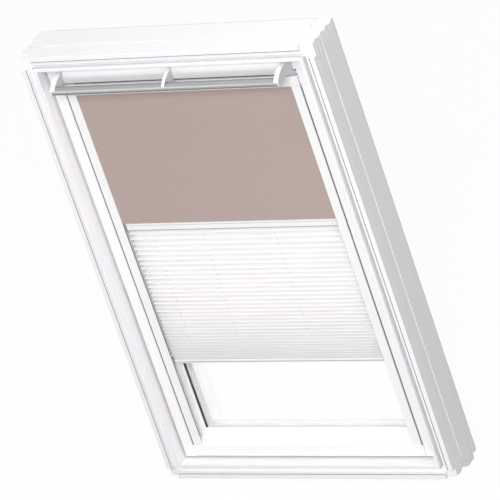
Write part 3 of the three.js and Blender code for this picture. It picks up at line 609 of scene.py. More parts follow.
def round_edges(piece: Piece, width: float, segments: int = 2) -> None:
    """Rounds a piece's sharp edges and lets its flat faces keep their own normals.

    Args:
        piece: The object to round.
        width: The rounding's width in metres.
        segments: How many steps the rounding has.
    """
    bevel = piece.modifiers.new("rounding", "BEVEL")
    bevel.width = width
    bevel.segments = segments
    bevel.limit_method = "ANGLE"
    bevel.angle_limit = ROUNDED_FROM
    smooth(piece)
    weighted = piece.modifiers.new("flat_faces", "WEIGHTED_NORMAL")
    weighted.mode = "FACE_AREA"
    weighted.weight = 100
    weighted.keep_sharp = True
    apply_modifiers(piece)


def thicken(piece: Piece, thickness: float) -> None:
    """Gives an open sheet its thickness, half to each side.

    Args:
        piece: The sheet.
        thickness: Its thickness in metres.
    """
    shell = piece.modifiers.new("thickness", "SOLIDIFY")
    shell.thickness = thickness
    shell.offset = 0.0
    smooth(piece, sharp=60)


def outline_of(corners: Sequence[tuple[float, ...]], steps: int) -> list[Point]:
    """A closed outline whose corners may be rounded by an arc.

    Args:
        corners: Points (u, v) or (u, v, radius), in order.
        steps: How many steps a rounding has.

    Returns:
        The outline's points.
    """
    points: list[Point] = []
    for i, corner in enumerate(corners):
        here = Vector(corner[:2])
        radius = corner[2] if len(corner) > 2 else 0.0
        if not radius:
            points.append((here.x, here.y))
            continue
        to_last = (Vector(corners[i - 1][:2]) - here).normalized()
        to_next = (Vector(corners[(i + 1) % len(corners)][:2]) - here).normalized()
        half = to_last.angle(to_next) / 2
        reach = radius / math.tan(half)
        centre = here + (to_last + to_next).normalized() * (radius / math.sin(half))
        start, end = here + to_last * reach - centre, here + to_next * reach - centre
        for k in range(steps + 1):
            spoke = start.lerp(end, k / steps).normalized() * radius
            points.append((centre.x + spoke.x, centre.y + spoke.y))
    return points


def bridge(builder: Builder, rows: Sequence[Sequence[bmesh.types.BMVert]], closed: bool = True) -> None:
    """Joins rows of vertices, each to the next, by faces with four corners.

    Args:
        builder: The bmesh that holds them.
        rows: The rows, all of one length.
        closed: Whether a row is a ring, whose last vertex meets its first.
    """
    for first, second in zip(rows, rows[1:]):
        for i in range(len(first) if closed else len(first) - 1):
            j = (i + 1) % len(first)
            builder.faces.new((first[i], first[j], second[j], second[i]))


def extruded(name: str, points: Sequence[Point], run: Point, place: Place) -> Piece:
    """A closed solid with one outline all along.

    Args:
        name: The object's name.
        points: The outline (u, v).
        run: Where along its length it starts and ends.
        place: Turns (u, v, distance along) to a point in the row frame.

    Returns:
        The object.
    """
    builder = bmesh.new()
    rings = [[builder.verts.new(place(u, v, w)) for u, v in points] for w in run]
    bridge(builder, rings)
    builder.faces.new(rings[0])
    builder.faces.new(rings[-1][::-1])
    return finished(name, builder)


def crosswise(y: float, z: float, x: float) -> Spot:
    """Places a point (y, z) of an outline that runs along X."""
    return x, y, z


def turned(
    name: str, rings: Sequence[tuple[Sequence[float], float]], centre: Vector, axis: Vector, hollow: bool
) -> Piece:
    """A turned solid, whose rings may have another radius at each vertex.

    Args:
        name: The object's name.
        rings: For each ring the radius at each vertex, and its distance along the axis.
        centre: The point on the axis at distance zero.
        axis: The axis, of unit length.
        hollow: Whether the last ring meets the first, as in a tube, or both are closed.

    Returns:
        The object.
    """
    across = axis.orthogonal().normalized()
    other = axis.cross(across)
    builder = bmesh.new()
    made = []
    for radii, along in rings:
        angles = [2 * math.pi * k / len(radii) for k in range(len(radii))]
        spokes = [across * math.cos(angle) + other * math.sin(angle) for angle in angles]
        made.append([builder.verts.new(centre + axis * along + s * r) for s, r in zip(spokes, radii)])
    bridge(builder, made + made[:1] if hollow else made)
    if not hollow:
        builder.faces.new(made[-1])
        builder.faces.new(made[0][::-1])
    return finished(name, builder)


def coat(piece: Piece, finish: Finish) -> None:
    """Gives a piece its finish, and reports it.

    Args:
        piece: The piece.
        finish: Its finish.
    """
    piece.data.materials.clear()
    piece.data.materials.append(finish.material())
    log.info("%s: %d faces, %s", piece.name, len(piece.data.polygons), finish.name)


def paint_shade_on(piece: Piece, finish: Finish, chosen: Callable[[bpy.types.MeshPolygon], bool]) -> None:
    """Gives some of a piece's faces a second finish, which paints shade on them.

    Args:
        piece: The piece.
        finish: The second finish.
        chosen: Tells whether a face takes it.
    """
    piece.data.materials.append(finish.material())
    faces = [face for face in piece.data.polygons if chosen(face)]
    for face in faces:
        face.material_index = 1
    log.info("%s: %d faces in %s", piece.name, len(faces), finish.name)


def dress(piece: Piece, finish: Finish, body: str, *nodes: str) -> Piece:
    """Gives a piece its finish and its body, and lets it stand for CAD nodes.

    Args:
        piece: The piece.
        finish: Its finish.
        body: The CAD body that it rides on.
        nodes: The CAD nodes that it stands for.

    Returns:
        The piece.
    """
    coat(piece, finish)
    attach(piece, body)
    if nodes:
        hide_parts(*nodes)
    return piece


def body_of(node: str) -> str:
    """The name of the CAD body that holds a node."""
    bodies = frame["record"]["behaviour"]["bodies"]
    return next(body for body, members in bodies.items() if node in members)


def whole_faces(node: str) -> Builder:
    """A CAD node's shape, with each flat side as one face.

    Args:
        node: The node's name.

    Returns:
        The bmesh, which the caller frees.
    """
    builder = bmesh.new()
    builder.from_mesh(frame["nodes"][node].data)
    bmesh.ops.remove_doubles(builder, verts=builder.verts, dist=WELDED_WITHIN)
    bmesh.ops.dissolve_limit(
        builder, angle_limit=FLAT_WITHIN, verts=builder.verts, edges=builder.edges
    )
    return builder


def refine(node: str, finish: Finish, rounding: float, segments: int = 2) -> Piece:
    """Builds a piece in a CAD node's place, with whole faces and rounded edges.

    Args:
        node: The node's name.
        finish: The piece's finish.
        rounding: How wide its edges are rounded, in metres.
        segments: How many steps a rounding has.

    Returns:
        The new piece.
    """
    piece = finished(f"{node}_piece", whole_faces(node))
    round_edges(piece, rounding, segments)
    return dress(piece, finish, body_of(node), node)


@dataclass(frozen=True)
class Strip:
    """A straight strip with rounded front corners, whose grey paints shade along a gap or groove."""

    near: float
    far: float
    front: float
    back: float
    bend: float

    def lay(self, name: str, finish: Finish, body: str, run: Point, place: Place) -> Piece:
        """Builds and dresses the strip.

        Args:
            name: The strip's name.
            finish: Its finish.
            body: The CAD body that it rides on.
            run: Where along its length it starts and ends.
            place: Turns (across, deep, along) to a point in the row frame.

        Returns:
            The strip.
        """
        face = [(self.near, self.front, self.bend), (self.far, self.front, self.bend)]
        outline = outline_of([(self.near, self.back), *face, (self.far, self.back)], steps=4)
        return dress(smooth(extruded(name, outline, run, place)), finish, body)


# Sub-assemblies


@dataclass
class WindowFrame:
    """The fixed frame: four finger-jointed members, their lining trim, covers and seals, and grey strips
    of painted shade along the trim.
    """

    wood_rounding: float = 0.9 * MM
    trim_rounding: float = 0.6 * MM
    sheet_rounding: float = 0.3 * MM
    seal_rounding: float = 1.0 * MM
    # The lip line and the groove band are grey strips of painted shade
    lip_shade_line: Strip = Strip(
        near=12.1 * MM, far=13.8 * MM, front=0.15 * MM, back=2.9 * MM, bend=0.425 * MM
    )
    groove_shade_band: Strip = Strip(
        near=26.4 * MM, far=31.9 * MM, front=7.6 * MM, back=9.6 * MM, bend=1.375 * MM
    )
    stop_top: float = 33.4 * MM
    stop_bottom: float = 25.4 * MM

    def build(self) -> None:
        """Builds and dresses every piece of the frame."""
        self.trim_shade_strips()
        for side in Side:
            pine = PINE_UPRIGHT if side.upright else PINE_ACROSS
            refine(f"frame_{side.value}", pine, self.wood_rounding)
            refine(f"lining_trim_{side.value}", WHITE_PLASTIC, self.trim_rounding)
            refine(f"frame_cover_{side.value}", GREY_COAT, self.sheet_rounding)
        for half in ("upper", "lower"):
            refine(f"gap_seal_{half}", RUBBER, self.seal_rounding)
        refine("lock_striker", ZINC_STEEL, self.sheet_rounding)

    def trim_shade_strips(self) -> None:
        """Lays grey strips of painted shade: a line in the trim's lip, and a band in the groove along its
        inner rim.
        """
        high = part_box("frame_right")[1]
        edge, head, front = high.x, high.z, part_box("lining_trim_right")[0].y
        places: dict[Side, Place] = {
            Side.LEFT: lambda e, d, run: (-edge + e, front + d, run),
            Side.RIGHT: lambda e, d, run: (edge - e, front + d, run),
            Side.TOP: lambda e, d, run: (run, front + d, head - e),
            Side.BOTTOM: lambda e, d, run: (run, front + d, e),
        }
        for side, place in places.items():
            at_head = side is Side.TOP
            # Each side gets a grey line and a grey band that paint the shade of the lip's slot and the
            # groove's corner
            line, shade_band = (HEAD_SHADE_LINE, HEAD_SHADE_BAND) if at_head else (SHADE_LINE, GROOVE_SHADE_BAND)
            first = self.stop_top if at_head else self.stop_bottom
            last = self.stop_bottom if side is Side.BOTTOM else self.stop_top
            start, end = (0.0, head) if side.upright else (-edge, edge)
            line_run = (start + first, end - last)
            self.lip_shade_line.lay(f"lip_shade_line_{side.value}", line, "frame", line_run, place)
            shade_band_run = (start + self.stop_top, end - self.stop_top)
            self.groove_shade_band.lay(f"groove_shade_band_{side.value}", shade_band, "frame", shade_band_run, place)


@dataclass
class Sash:
    """The pivoting sash: its members, covers, glazing, filter and lock."""

    wood_rounding: float = 0.9 * MM
    sheet_rounding: float = 0.3 * MM
    filter_rounding: float = 1.2 * MM
    latch_rounding: float = 0.6 * MM
    pane_rounding: float = 0.4 * MM
    gasket_rounding: float = 0.25 * MM
    gasket_edge: float = 4 * MM
    gasket_reach: float = 28 * MM
    gasket_tuck: float = 5 * MM
    rail_gap: float = 0.15 * MM
    rail_slot: float = 3.7 * MM
    rail_shade_strip_recess: float = 2.0 * MM
    rail_shade_strip_depth: float = 5.0 * MM
    rail_shade_strip_bend: float = 0.6 * MM
    rail_shade_strip_stop: float = 1 * MM
    foot_shade_strip_front: float = 6.5 * MM
    foot_shade_strip_back: float = 10 * MM
    foot_shade_strip_height: float = 2.4 * MM
    foot_shade_strip_bend: float = 0.8 * MM
    foot_shade_strip_stop: float = 20 * MM

    def build(self) -> None:
        """Builds and dresses every piece of the sash."""
        for name in HANDS:
            refine(f"sash_stile_{name}", PINE_UPRIGHT, self.wood_rounding)
        for rail in ("sash_head", "sash_sill"):
            refine(rail, PINE_ACROSS, self.wood_rounding)
        for side in Side:
            refine(f"sash_cover_{side.value}", GREY_COAT, self.sheet_rounding)
        for pane in ("glass_inner_pane", "glass_outer_pane"):
            refine(pane, GLASS, self.pane_rounding)
        coat(frame["nodes"]["glass_spacer"], WARM_EDGE)
        self.gasket()
        self.rail_shade_strips()
        self.foot_shade_strip()
        refine("vent_filter", FLEECE, self.filter_rounding, segments=3)
        refine("lock_faceplate", ZINC_STEEL, self.sheet_rounding)
        refine("latch", ZINC_STEEL, self.latch_rounding)
        coat(frame["nodes"]["lock_case"], ZINC_STEEL)

    def gasket(self) -> None:
        """Builds the gasket, whose lower run is tucked down behind the sill's bevel."""
        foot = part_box("glazing_gasket")[0].z
        builder = whole_faces("glazing_gasket")
        for vert in builder.verts:
            if foot + self.gasket_edge < vert.co.z < foot + self.gasket_reach:
                vert.co.z -= self.gasket_tuck
        piece = finished("glazing_gasket_piece", builder)
        round_edges(piece, self.gasket_rounding)
        dress(piece, RUBBER, "sash", "glazing_gasket")

    def rail_shade_strips(self) -> None:
        """Lays dark grey strips of painted shade in the slots beside the blind's rails."""
        for name, hand in HANDS.items():
            low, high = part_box(f"guide_rail_{name}")
            near = max(abs(low.x), abs(high.x)) + self.rail_gap
            front = low.y + self.rail_shade_strip_recess
            back = front + self.rail_shade_strip_depth
            # A dark grey strip paints the shade of the gap beside the rail
            seal = Strip(near, near + self.rail_slot, front, back, self.rail_shade_strip_bend)
            run = (low.z + self.rail_shade_strip_stop, high.z - self.rail_shade_strip_stop)
            seal.lay(
                f"rail_shade_strip_{name}", SHADE_LINE, "sash", run, lambda e, y, z, hand=hand: (hand * e, y, z)
            )

    def foot_shade_strip(self) -> None:
        """Lays a dark grey strip of painted shade on the blind's cassette, under the flap's foot."""
        low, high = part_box("cassette")
        near, far = low.y + self.foot_shade_strip_front, low.y + self.foot_shade_strip_back
        # A dark grey strip paints the shade between the flap and the cassette
        seal = Strip(near, far, high.z + self.foot_shade_strip_height, high.z, self.foot_shade_strip_bend)
        run = (low.x + self.foot_shade_strip_stop, high.x - self.foot_shade_strip_stop)
        seal.lay("flap_foot_shade_strip", SHADE_LINE, body_of("cassette"), run, crosswise)


@dataclass
class PivotHinges:
    """The two friction hinges on which the sash turns, with their cross-head screws.

    The screws' rings are pairs (radius, height), as shares of the head's radius and rise.
    """

    rounding: float = 0.4 * MM
    frame_plate: float = 2.3 * MM
    screw_radius: float = 3.6 * MM
    screw_rise: float = 0.6 * MM
    screw_inset: float = 12 * MM
    dome: tuple[Point, ...] = ((1.0, 0.0), (0.97, 0.45), (0.7, 0.9), (0.55, 1.0))
    recess: tuple[Point, ...] = ((0.5, 1.0), (0.4, -0.6))
    cross: tuple[float, ...] = (1.0, 0.42, 0.3, 0.3, 0.3, 0.42) * 4

    def build(self) -> None:
        """Builds the plates and pins, and screws the plates down."""
        for name, hand in HANDS.items():
            refine(f"pivot_pin_{name}", ZINC_STEEL, self.rounding)
            refine(f"pivot_plate_{name}", ZINC_STEEL, self.rounding)
            self.screws(f"pivot_pin_{name}", -hand, "frame")
            self.screws(f"pivot_plate_{name}", hand, "sash")

    def screws(self, node: str, facing: int, body: str) -> None:
        """Puts a low domed screw at each end of a plate.

        Args:
            node: The plate's node.
            facing: +1 or -1, the way along X that the plate's open face looks.
            body: The body that the screws ride on.
        """
        low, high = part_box(node)
        back, face = (low.x, high.x) if facing > 0 else (high.x, low.x)
        if body == "frame":
            # The pin stands out from the frame's plate, so the box doesn't give the plate's face
            face = back + facing * self.frame_plate
        dome = [([self.screw_radius * r] * len(self.cross), self.screw_rise * z) for r, z in self.dome]
        recess = [
            ([self.screw_radius * r * arm for arm in self.cross], self.screw_rise * z)
            for r, z in self.recess
        ]
        middle = (low.y + high.y) / 2
        for end, z in (("foot", low.z + self.screw_inset), ("head", high.z - self.screw_inset)):
            seat, axis = Vector((face, middle, z)), Vector((facing, 0, 0))
            head = turned(f"{node}_screw_{end}", dome + recess, seat, axis, hollow=False)
            dress(smooth(head, sharp=40), ZINC_STEEL, body)


@dataclass
class VentFlap:
    """The ventilation flap, its three arms and the control bar.

    The painted shade covers the tube's faces between two angles in degrees, 0 to the room and -90 down.
    """

    wall: float = 1.8 * MM
    sweep: float = 5.0 * MM
    lower_sweep_share: float = 0.5
    steps: int = 40
    creases: tuple[float, ...] = (0.3, 0.62)
    crease_depth: float = 0.5 * MM
    crease_width: float = 0.012
    arm_rounding: float = 0.5 * MM
    shaded_flank_facing: float = 0.8
    bar_radius: float = 10.0 * MM
    bar_wall: float = 1.5 * MM
    bar_edge: float = 0.4 * MM
    bar_sides: int = 64
    underside_shade_from: float = -112.0
    underside_shade_to: float = -22.0

    def build(self) -> None:
        """Builds and dresses the flap, the arms and the bar."""
        self.shell()
        self.bar()
        for name in ("left", "right", "middle"):
            arm = refine(f"bar_arm_{name}", WHITE_PLASTIC, self.arm_rounding, segments=3)
            # The arms' sideways faces take a mid grey: painted shade on their flanks
            paint_shade_on(arm, ARM_FLANK_SHADE, lambda face: abs(face.normal.x) > self.shaded_flank_facing)

    def shell(self) -> None:
        """Builds the bowed shell with its two flanges and fine creases."""
        low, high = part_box("vent_flap")
        face = []
        for k in range(self.steps + 1):
            t = k / self.steps
            sweep = self.sweep * (2 * t - 1) ** 2 * (self.lower_sweep_share if t < 0.5 else 1.0)
            creases = (math.exp(-(((t - crease) / self.crease_width) ** 2)) for crease in self.creases)
            face.append((low.y + sweep + self.crease_depth * sum(creases), low.z + (high.z - low.z) * t))
        foot, top = low.z + self.wall, high.z - self.wall
        inside = [(y + self.wall, min(max(z, foot), top)) for y, z in reversed(face)]
        flanges = [(high.y, high.z), (high.y, top)], [(high.y, foot), (high.y, low.z)]
        points = [*face, *flanges[0], *inside, *flanges[1]]
        shell = extruded("vent_flap_shell", points, (low.x, high.x), crosswise)
        dress(smooth(shell), GREY_PLASTIC, "flap", "vent_flap")

    def bar(self) -> None:
        """Builds the drawn tube that opens the flap and turns the sash, with painted shade on its lower
        side.
        """
        low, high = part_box("control_bar")
        centre = Vector((0, (low.y + high.y) / 2, (low.z + high.z) / 2))
        outer, edge = self.bar_radius, self.bar_edge
        mouth = [(outer - self.bar_wall, 0.0), (outer - edge, 0.0), (outer, edge)]
        profile = [(radius, low.x + inset) for radius, inset in mouth]
        profile += [(radius, high.x - inset) for radius, inset in reversed(mouth)]
        rings = [([radius] * self.bar_sides, along) for radius, along in profile]
        tube = turned("control_bar_tube", rings, centre, Vector((1, 0, 0)), hollow=True)
        dress(smooth(tube), TUBE_ALUMINIUM, "flap", "control_bar")

        def in_underside_shade(face: bpy.types.MeshPolygon) -> bool:
            """Whether a face lies in the painted shade on the tube's underside."""
            way = face.center - centre
            return self.underside_shade_from < math.degrees(math.atan2(way.z, -way.y)) < self.underside_shade_to

        # The tube's lower faces take a dull grey: painted shade on its underside
        paint_shade_on(tube, TUBE_UNDERSIDE_SHADE, in_underside_shade)


@dataclass(frozen=True)
class Groove:
    """The groove along a bar's face, and the lip that may hang below the bar."""

    middle: float
    width: float
    depth: float
    lip: float = 0.0


@dataclass
class BlindFittings:
    """The blind's hard parts: rails, cassette, roller, bars and sliders."""

    rail_rounding: float = 0.6 * MM
    cap_rounding: float = 0.8 * MM
    cassette_rounding: float = 0.4 * MM
    bar_rounding: float = 0.5 * MM
    groove_rounding: float = 0.2 * MM
    blackout_groove: Groove = Groove(middle=5.4 * MM, width=0.8 * MM, depth=0.5 * MM, lip=2.7 * MM)
    pleat_top_groove: Groove = Groove(middle=2.4 * MM, width=2.0 * MM, depth=1.4 * MM)
    pleat_bottom_groove: Groove = Groove(middle=3.4 * MM, width=2.0 * MM, depth=1.4 * MM)
    groove_shade_inset: float = 0.3 * MM
    lip_recess: float = 0.3 * MM
    lip_back: float = 2 * MM
    slot_wall: float = 0.7 * MM
    slot_reach: float = 18 * MM
    slot_from: float = 4 * MM
    slot_to: float = 20 * MM
    slot_end_facing: float = 0.5

    def build(self) -> None:
        """Builds and dresses them all."""
        for name in HANDS:
            self.rail(f"guide_rail_{name}")
            refine(f"cassette_cap_{name}", WHITE_PLASTIC, self.cap_rounding, segments=3)
            refine(f"middle_slider_{name}", SLIDER_PLASTIC, self.bar_rounding)
            refine(f"lower_slider_{name}", SLIDER_PLASTIC, self.bar_rounding)
            coat(frame["nodes"][f"roller_plug_{name}"], GREY_PLASTIC)
        refine("cassette", WHITE_COAT, self.cassette_rounding)
        self.bar("blackout_bar", self.blackout_groove)
        self.bar("pleat_top_bar", self.pleat_top_groove)
        self.bar("pleat_bottom_bar", self.pleat_bottom_groove)
        coat(frame["nodes"]["roller_tube"], TUBE_ALUMINIUM)

    def bar(self, node: str, groove: Groove) -> None:
        """Builds a bar with a fine groove along its face, whose faces take painted shade.

        Args:
            node: The bar's node.
            groove: Its groove, whose middle is measured from the bar's foot.
        """
        low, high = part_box(node)
        bend = self.bar_rounding
        foot = low.z + groove.middle - groove.width / 2
        top, back = foot + groove.width, low.y + groove.depth
        corners = [(high.y, low.z, bend), (high.y, high.z, bend), (low.y, high.z, bend)]
        corners += [(low.y, top, self.groove_rounding), (back, top)]
        corners += [(back, foot), (low.y, foot, self.groove_rounding)]
        if groove.lip:
            lip_foot, lip_back = low.z - groove.lip, low.y + self.lip_back
            corners += [(low.y + self.lip_recess, lip_foot), (lip_back, lip_foot), (lip_back, low.z)]
        else:
            corners += [(low.y, low.z, bend)]
        bar = extruded(f"{node}_piece", outline_of(corners, steps=3), (low.x, high.x), crosswise)
        dress(smooth(bar), WHITE_COAT, body_of(node), node)
        near, slack = low.y + self.groove_shade_inset, 0.01 * MM

        def grooved(face: bpy.types.MeshPolygon) -> bool:
            """Whether a face lies in the groove."""
            at = face.center
            return foot - slack < at.z < top + slack and near < at.y < back + slack

        # The groove's faces take a matt grey: painted shade in the groove
        paint_shade_on(bar, BAR_GROOVE_SHADE, grooved)

    def rail(self, node: str) -> None:
        """Builds a guide rail, whose slot faces take a near-black painted shade.

        Args:
            node: The rail's node.
        """
        low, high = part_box(node)
        inner = min(abs(low.x), abs(high.x))
        near, far = inner + self.slot_wall, inner + self.slot_reach
        front, back = low.y + self.slot_from, low.y + self.slot_to

        def in_slot_shade(face: bpy.types.MeshPolygon) -> bool:
            """Whether a face lies in the slot, but for the slot's ends."""
            inside = near < abs(face.center.x) < far and front < face.center.y < back
            return inside and abs(face.normal.z) < self.slot_end_facing

        # The slot's faces take near black: painted shade in the slot
        paint_shade_on(refine(node, WHITE_COAT, self.rail_rounding), RAIL_SLOT_SHADE, in_slot_shade)


@dataclass(frozen=True)
class Waves:
    """Waves across a cloth, each with random cycles, phase and height."""

    count: int
    cycles: Point
    heights: Point

    def draw(self) -> list[Spot]:
        """Draws the waves.

        Returns:
            For each wave its cycles, phase and height.
        """
        return [
            (random.uniform(*self.cycles), random.uniform(0, 2 * math.pi), random.uniform(*self.heights))
            for _ in range(self.count)
        ]


def swell(waves: Sequence[Spot], s: float) -> float:
    """The height of all waves together, at a place from 0 to 1 across the cloth."""
    return sum(height * math.sin(2 * math.pi * cycles * s + phase) for cycles, phase, height in waves)


@dataclass
class BlackoutCloth:
    """The woven blackout cloth: the hanging part, and what is wound on the roller."""

    thickness: float = 0.5 * MM
    ripple: float = 0.12 * MM
    waves: Waves = Waves(count=5, cycles=(2, 9), heights=(0.3, 1.0))
    columns: int = 80
    rows: int = 60
    turns: int = 6
    turn_steps: int = 40
    roller_gap: float = 0.3 * MM
    seed: int = 11

    def build(self) -> None:
        """Builds and dresses both parts of the cloth."""
        self.hanging()
        self.wound()

    def hanging(self) -> None:
        """Builds the sheet from the roller to the bottom bar, with faint tension ripples."""
        low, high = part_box("blackout_cloth")
        random.seed(self.seed)
        waves = self.waves.draw()
        middle = (low.y + high.y) / 2
        width, length = high.x - low.x, high.z - low.z
        builder = bmesh.new()
        grid = []
        for r in range(self.rows + 1):
            t = r / self.rows
            row = []
            for c in range(self.columns + 1):
                s = c / self.columns
                y = middle + self.ripple * math.sin(math.pi * t) * swell(waves, s) / len(waves)
                row.append(builder.verts.new((low.x + width * s, y, low.z + length * t)))
            grid.append(row)
        bridge(builder, grid, closed=False)
        sheet = finished("blackout_sheet", builder)
        thicken(sheet, self.thickness)
        dress(sheet, BLACKOUT, "middle_bars", "blackout_cloth")
        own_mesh(sheet)

    def wound(self) -> None:
        """Builds the cloth wound on the roller as one spiral."""
        low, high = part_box("rolled_cloth")
        core_low, core_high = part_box("roller_tube")
        half = self.thickness / 2
        outer = (high.z - low.z) / 2 - half
        inner = (core_high.z - core_low.z) / 2 + half + self.roller_gap
        steps = self.turn_steps * self.turns
        shares = [k / steps for k in range(steps + 1)]

        def spiral(offset: float) -> list[Point]:
            """A spiral beside the cloth's middle.

            Args:
                offset: How far outside the middle it runs, in metres.

            Returns:
                Its points (y, z).
            """
            angles = [math.pi + 2 * math.pi * self.turns * (t - 1) for t in shares]
            radii = [inner + (outer - inner) * t + offset for t in shares]
            centre = Vector(((low.y + high.y) / 2, (low.z + high.z) / 2))
            return [
                (centre.x + r * math.cos(a), centre.y + r * math.sin(a)) for r, a in zip(radii, angles)
            ]

        points = spiral(half) + spiral(-half)[::-1]
        builder = bmesh.new()
        ends = [[builder.verts.new((x, y, z)) for y, z in points] for x in (low.x, high.x)]
        bridge(builder, ends)
        for ring in ends:
            for i in range(steps):
                builder.faces.new((ring[i], ring[i + 1], ring[-2 - i], ring[-1 - i]))
        roll = smooth(finished("blackout_roll", builder), sharp=50)
        dress(roll, BLACKOUT, "roller", "rolled_cloth")


@dataclass
class PleatedCloth:
    """The pleated cloth, one strip for each pleat."""

    pleats: int = 33
    top_share: float = 1.38
    thickness: float = 0.35 * MM
    fold_inset: float = 1.0 * MM
    columns: int = 64
    leg_steps: int = 7
    bend: float = 0.75
    wander: float = 0.5 * MM
    waves: Waves = Waves(count=3, cycles=(0.7, 3.5), heights=(-0.5, 0.5))
    seed: int = 7
    hole_columns: tuple[float, ...] = (-226 * MM, -90 * MM, 105 * MM, 273 * MM)
    hole_width: float = 3.0 * MM
    hole_step: int = 3
    least_share: float = 0.004

    def __post_init__(self) -> None:
        """Takes the cloth's box from the frame, and draws how each fold wanders."""
        self.low, self.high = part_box("pleated_cloth")
        self.front, self.back = self.low.y + self.fold_inset, self.high.y - self.fold_inset
        self.width, self.drop = self.high.x - self.low.x, self.high.z - self.low.z
        random.seed(self.seed)
        self.fold_waves = [self.waves.draw() for _ in range(2 * self.pleats + 1)]

    def build(self) -> None:
        """Builds and dresses every pleat."""
        for i in range(self.pleats):
            self.pleat(i)

    def fold_height(self, i: float) -> float:
        """The height of a fold at rest: the pleats hang open at the top and close up below.

        Args:
            i: The pleat's number, from 0, or halfway between two.

        Returns:
            Its height in metres.
        """
        t = i / self.pleats
        return self.high.z - self.drop * (self.top_share * t + (1 - self.top_share) * t * t)

    def wander_at(self, fold: int, s: float) -> float:
        """How far a fold strays from its line.

        Args:
            fold: The fold's number, counting front and back folds.
            s: The place across the cloth, from 0 to 1.

        Returns:
            The distance in metres.
        """
        held = fold in (0, 2 * self.pleats)
        return 0.0 if held else self.wander * swell(self.fold_waves[fold], s)

    def leg(self, fold: int, s: float) -> list[Point]:
        """The cloth between one fold and the next, softly bent into both.

        Args:
            fold: The upper fold's number; even folds are at the back.
            s: The place across the cloth, from 0 to 1.

        Returns:
            Points (y, z) from the upper fold to the lower.
        """
        z0 = self.fold_height(fold / 2) + self.wander_at(fold, s)
        z1 = self.fold_height((fold + 1) / 2) + self.wander_at(fold + 1, s)
        y0, y1 = (self.back, self.front) if fold % 2 == 0 else (self.front, self.back)
        points = []
        for k in range(self.leg_steps + 1):
            t = k / self.leg_steps
            bent = (1 - math.cos(math.pi * t)) / 2
            points.append((y0 + (y1 - y0) * (t + (bent - t) * self.bend), z0 + (z1 - z0) * t))
        return points

    def section(self, i: int, s: float) -> list[Point]:
        """A pleat's two legs, from a back fold over the front fold to the next back fold."""
        return self.leg(2 * i, s) + self.leg(2 * i + 1, s)[1:]

    def pleat(self, i: int) -> None:
        """Builds one pleat with its punched cord holes.

        Args:
            i: The pleat's number, from the top.
        """
        half = self.hole_width / 2
        edges = [x + way * half for x in self.hole_columns for way in (-1, 1)]
        even = [self.low.x + self.width * c / self.columns for c in range(self.columns + 1)]
        stations = sorted([x for x in even if all(abs(x - edge) > half for edge in edges)] + edges)
        builder = bmesh.new()
        grid = []
        for x in stations:
            line = self.section(i, (x - self.low.x) / self.width)
            grid.append([builder.verts.new((x, y, z)) for y, z in line])
        for c, (first, second) in enumerate(zip(grid, grid[1:])):
            middle = (stations[c] + stations[c + 1]) / 2
            holed = any(abs(middle - x) < half for x in self.hole_columns)
            for k in range(len(first) - 1):
                if not (holed and k % self.leg_steps == self.hole_step):
                    builder.faces.new((first[k], first[k + 1], second[k + 1], second[k]))
        strip = finished(f"pleat_{i + 1:02d}", builder)
        thicken(strip, self.thickness)
        coat(strip, PLEAT_CLOTH)
        self.hang(strip)
        if i == 0:
            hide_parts("pleated_cloth")

    def hang(self, strip: Piece) -> None:
        """Bakes a pleat's place into its mesh.

        Args:
            strip: The pleat.
        """
        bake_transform(strip)


# Studio


def aimed(at: Spot, aim: Spot, roll: float = 0.0) -> Matrix:
    """The place and turn of a camera or a lamp that looks at a point.

    Args:
        at: Where it stands.
        aim: The point that it looks at.
        roll: How far it is rolled about its line of sight, in degrees.

    Returns:
        Its matrix.
    """
    turn = (Vector(aim) - Vector(at)).to_track_quat("-Z", "Y").to_matrix()
    return Matrix.Translation(at) @ (turn @ Matrix.Rotation(math.radians(roll), 3, "Z")).to_4x4()


@dataclass(frozen=True)
class Lamp:
    """A soft area lamp, square unless it has a height of its own.

    Its power is in watts and its spread in degrees.
    """

    name: str
    at: Spot
    aim: Spot
    size: float
    power: float
    height: float = 0.0
    spread: float = 180.0
    mirrored: bool = True

    def build(self) -> None:
        """Hangs the lamp and turns it to its aim."""
        data = bpy.data.lights.new(self.name, "AREA")
        data.size = self.size
        data.energy = self.power
        data.spread = math.radians(self.spread)
        if self.height:
            data.shape = "RECTANGLE"
            data.size_y = self.height
        lamp = put_in_scene(self.name, data)
        lamp.visible_glossy = self.mirrored
        lamp.matrix_world = aimed(self.at, self.aim)


